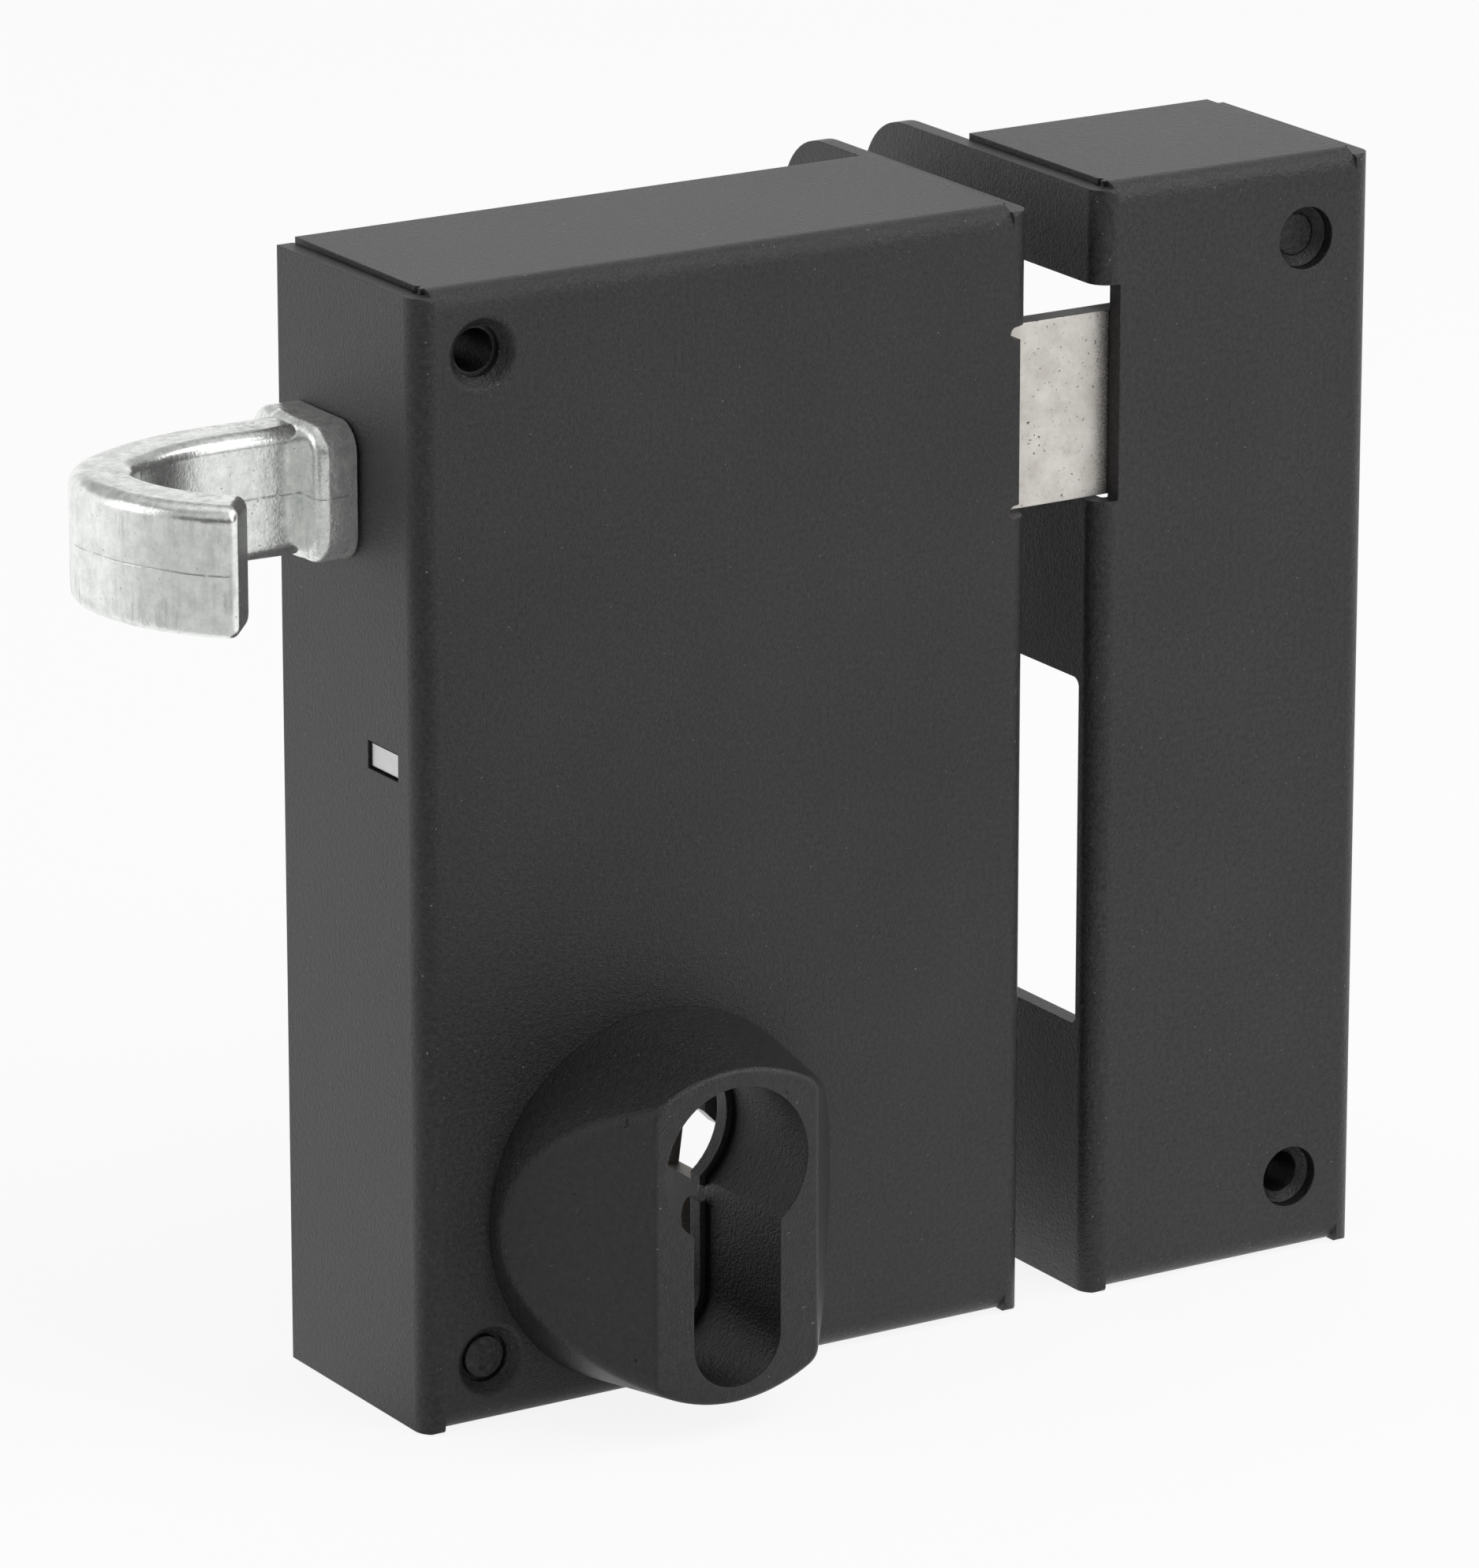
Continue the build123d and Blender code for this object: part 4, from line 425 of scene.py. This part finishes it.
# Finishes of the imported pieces
cover_coat = powder_coat("charcoal_cover_coat", 0.015)
keeper_coat = powder_coat("charcoal_keeper_coat", 0.016, grain=1.15)
spring_wire = zinc_plated("spring_wire", 0.3, roughness=0.3)
escutcheon_coat = powder_coat(
    "charcoal_casting_coat", 0.016, grain=1.3, sparkle=0.79, pits=0.235, contrast=1.6
)
finishes = {
    "case_cover": cover_coat,
    "case_plug": powder_coat("rough_plug_coat", 0.024, grain=1.6, depth=0.4, roughness=0.5),
    "keeper_cover": keeper_coat,
    "keeper_plug": powder_coat("keeper_plug_coat", 0.02, grain=1.2, depth=0.3),
    "cylinder_escutcheon": escutcheon_coat,
    "case_sleeves": powder_coat("coated_sleeve", 0.012, grain=1.2),
    "keeper_sleeves": powder_coat("coated_keeper_sleeve", 0.012, grain=1.2),
    "pull_handle": cast_zinc("cast_zinc_pull"),
    "latch_bolt": latch_steel("nickel_latch"),
    "back_plate": zinc_plated("plated_back", 0.5),
    "cover_posts": zinc_plated("turned_posts", 0.45, (1, 6, 1)),
    "back_plate_screws": zinc_plated("plated_screws", 0.5, roughness=0.32),
    "escutcheon_screws": zinc_plated("plated_escutcheon_screws", 0.5, roughness=0.32),
    "latch_pin": zinc_plated("turned_pin", 0.5, (1, 6, 1), 0.3),
    "guide_post": zinc_plated("turned_guide_post", 0.5, (1, 6, 1), 0.3),
    "handle_screw": zinc_plated("handle_screw_steel", 0.48, roughness=0.3),
    "latch_spring": spring_wire,
    "latch_lever": zinc_plated("plated_lever", 0.52),
    "lever_pivot": zinc_plated("turned_pivot", 0.5, (1, 6, 1), 0.3),
    "shelf_bracket": zinc_plated("plated_shelf", 0.62),
    "shelf_rivets": zinc_plated("shelf_rivet_steel", 0.45, roughness=0.3),
    "cylinder_bracket": bracket_steel("dark_bracket_plate"),
    "bracket_rivets": zinc_plated("bracket_rivet_steel", 0.45, roughness=0.3),
    "deadbolt_head": zinc_plated("deadbolt_steel", 0.5, (1, 1, 5), 0.34),
    "deadbolt_tail": zinc_plated("plated_tail", 0.5),
    "deadbolt_rivets": zinc_plated("deadbolt_rivet_steel", 0.45, roughness=0.3),
    "bolt_stud": zinc_plated("turned_stud", 0.5, (1, 6, 1), 0.3),
    "click_spring": zinc_plated("spring_strip", 0.34, roughness=0.28),
    "click_rivet": zinc_plated("click_rivet_steel", 0.45, roughness=0.3),
}
for node, finish in finishes.items():
    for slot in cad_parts[node].material_slots:
        slot.material = finish


def coil_spring(name, material):
    """The latch's compression spring, whose turns close up towards both ends."""
    mesh = bmesh.new()
    length, steps, rings = SPRING_END - SPRING_START, SPRING_STEPS * SPRING_TURNS, []
    for step in range(steps + 1):
        share = step / steps
        turn = math.tau * SPRING_TURNS * share
        lag = SPRING_CLOSING * math.sin(math.tau * share) / math.tau
        pace = 1 - SPRING_CLOSING * math.cos(math.tau * share)
        rise = length / (math.tau * SPRING_TURNS) * pace
        along = SPRING_START + length * (share - lag)
        outward = Vector((0, math.cos(turn), math.sin(turn)))
        ahead = Vector((rise, -SPRING_RADIUS * math.sin(turn), SPRING_RADIUS * math.cos(turn)))
        sideways = ahead.normalized().cross(outward)
        middle = Vector((along, *SPRING_MIDDLE)) + outward * SPRING_RADIUS
        ring = []
        for corner in range(WIRE_SIDES):
            angle = math.tau * corner / WIRE_SIDES
            spoke = outward * math.cos(angle) + sideways * math.sin(angle)
            ring.append(mesh.verts.new((middle + spoke * SPRING_WIRE) * MM))
        rings.append(ring)
    for first, second in zip(rings, rings[1:]):
        for left in range(-1, WIRE_SIDES - 1):
            right = left + 1
            side = mesh.faces.new((first[left], first[right], second[right], second[left]))
            side.smooth = True
    mesh.faces.new(rings[0])
    mesh.faces.new(rings[-1])
    bmesh.ops.recalc_face_normals(mesh, faces=mesh.faces)
    data = bpy.data.meshes.new(name)
    mesh.to_mesh(data)
    mesh.free()
    data.materials.append(material)
    thing = bpy.data.objects.new(name, data)
    bpy.context.scene.collection.objects.link(thing)
    return thing


# The coil stands in for the imported spring and rides with the case; on the lock the pull presses
# it together against the case's side as it draws the latch back
latch_coil = coil_spring("latch_coil", spring_wire)
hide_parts("latch_spring")
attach(latch_coil, "case")
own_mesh(latch_coil)


def studio_floor():
    """The white floor that the lock stands on, far wider than the view."""
    turns = ((-1, -1), (1, -1), (1, 1), (-1, 1))
    corners = [Vector((x * FLOOR_REACH, y * FLOOR_REACH, FLOOR)) * MM for x, y in turns]
    mesh = bpy.data.meshes.new("studio_floor")
    mesh.from_pydata(corners, [], [(0, 1, 2, 3)])
    mesh.materials.append(white_floor())
    thing = bpy.data.objects.new("studio_floor", mesh)
    bpy.context.scene.collection.objects.link(thing)


def softbox(name, spot, wide, tall, power):
    """A rectangular studio light that faces the lock's middle."""
    lamp = bpy.data.lights.new(name, "AREA")
    lamp.shape, lamp.size, lamp.size_y = "RECTANGLE", wide * MM, tall * MM
    lamp.energy = power
    thing = bpy.data.objects.new(name, lamp)
    thing.location = Vector(spot) * MM
    toward = Vector(LOCK_MIDDLE) - Vector(spot)
    thing.rotation_euler = toward.to_track_quat("-Z", "Y").to_euler()
    bpy.context.scene.collection.objects.link(thing)


def photo_camera():
    """The camera at the photograph's angle, with no shift."""
    turn, dip = math.radians(CAMERA_TURN), math.radians(CAMERA_DIP)
    flat = math.cos(dip)
    ahead = Vector((math.sin(turn) * flat, math.cos(turn) * flat, -math.sin(dip)))
    lens = bpy.data.cameras.new("photo_camera")
    lens.sensor_width = SENSOR_WIDTH
    lens.lens = SENSOR_WIDTH * LENS_PIXELS / FRAME_PIXELS
    lens.clip_start, lens.clip_end = 0.05, 20.0
    camera = bpy.data.objects.new("photo_camera", lens)
    camera.location = Vector(CAMERA_EYE) * MM
    camera.rotation_euler = ahead.to_track_quat("-Z", "Y").to_euler()
    bpy.context.scene.collection.objects.link(camera)
    return camera


studio_floor()
for name, (spot, wide, tall, power) in SOFTBOXES.items():
    softbox(name, spot, wide, tall, power)
bpy.context.scene.world = studio_air()
bpy.context.scene.camera = photo_camera()
bpy.context.scene.view_settings.view_transform = "Standard"
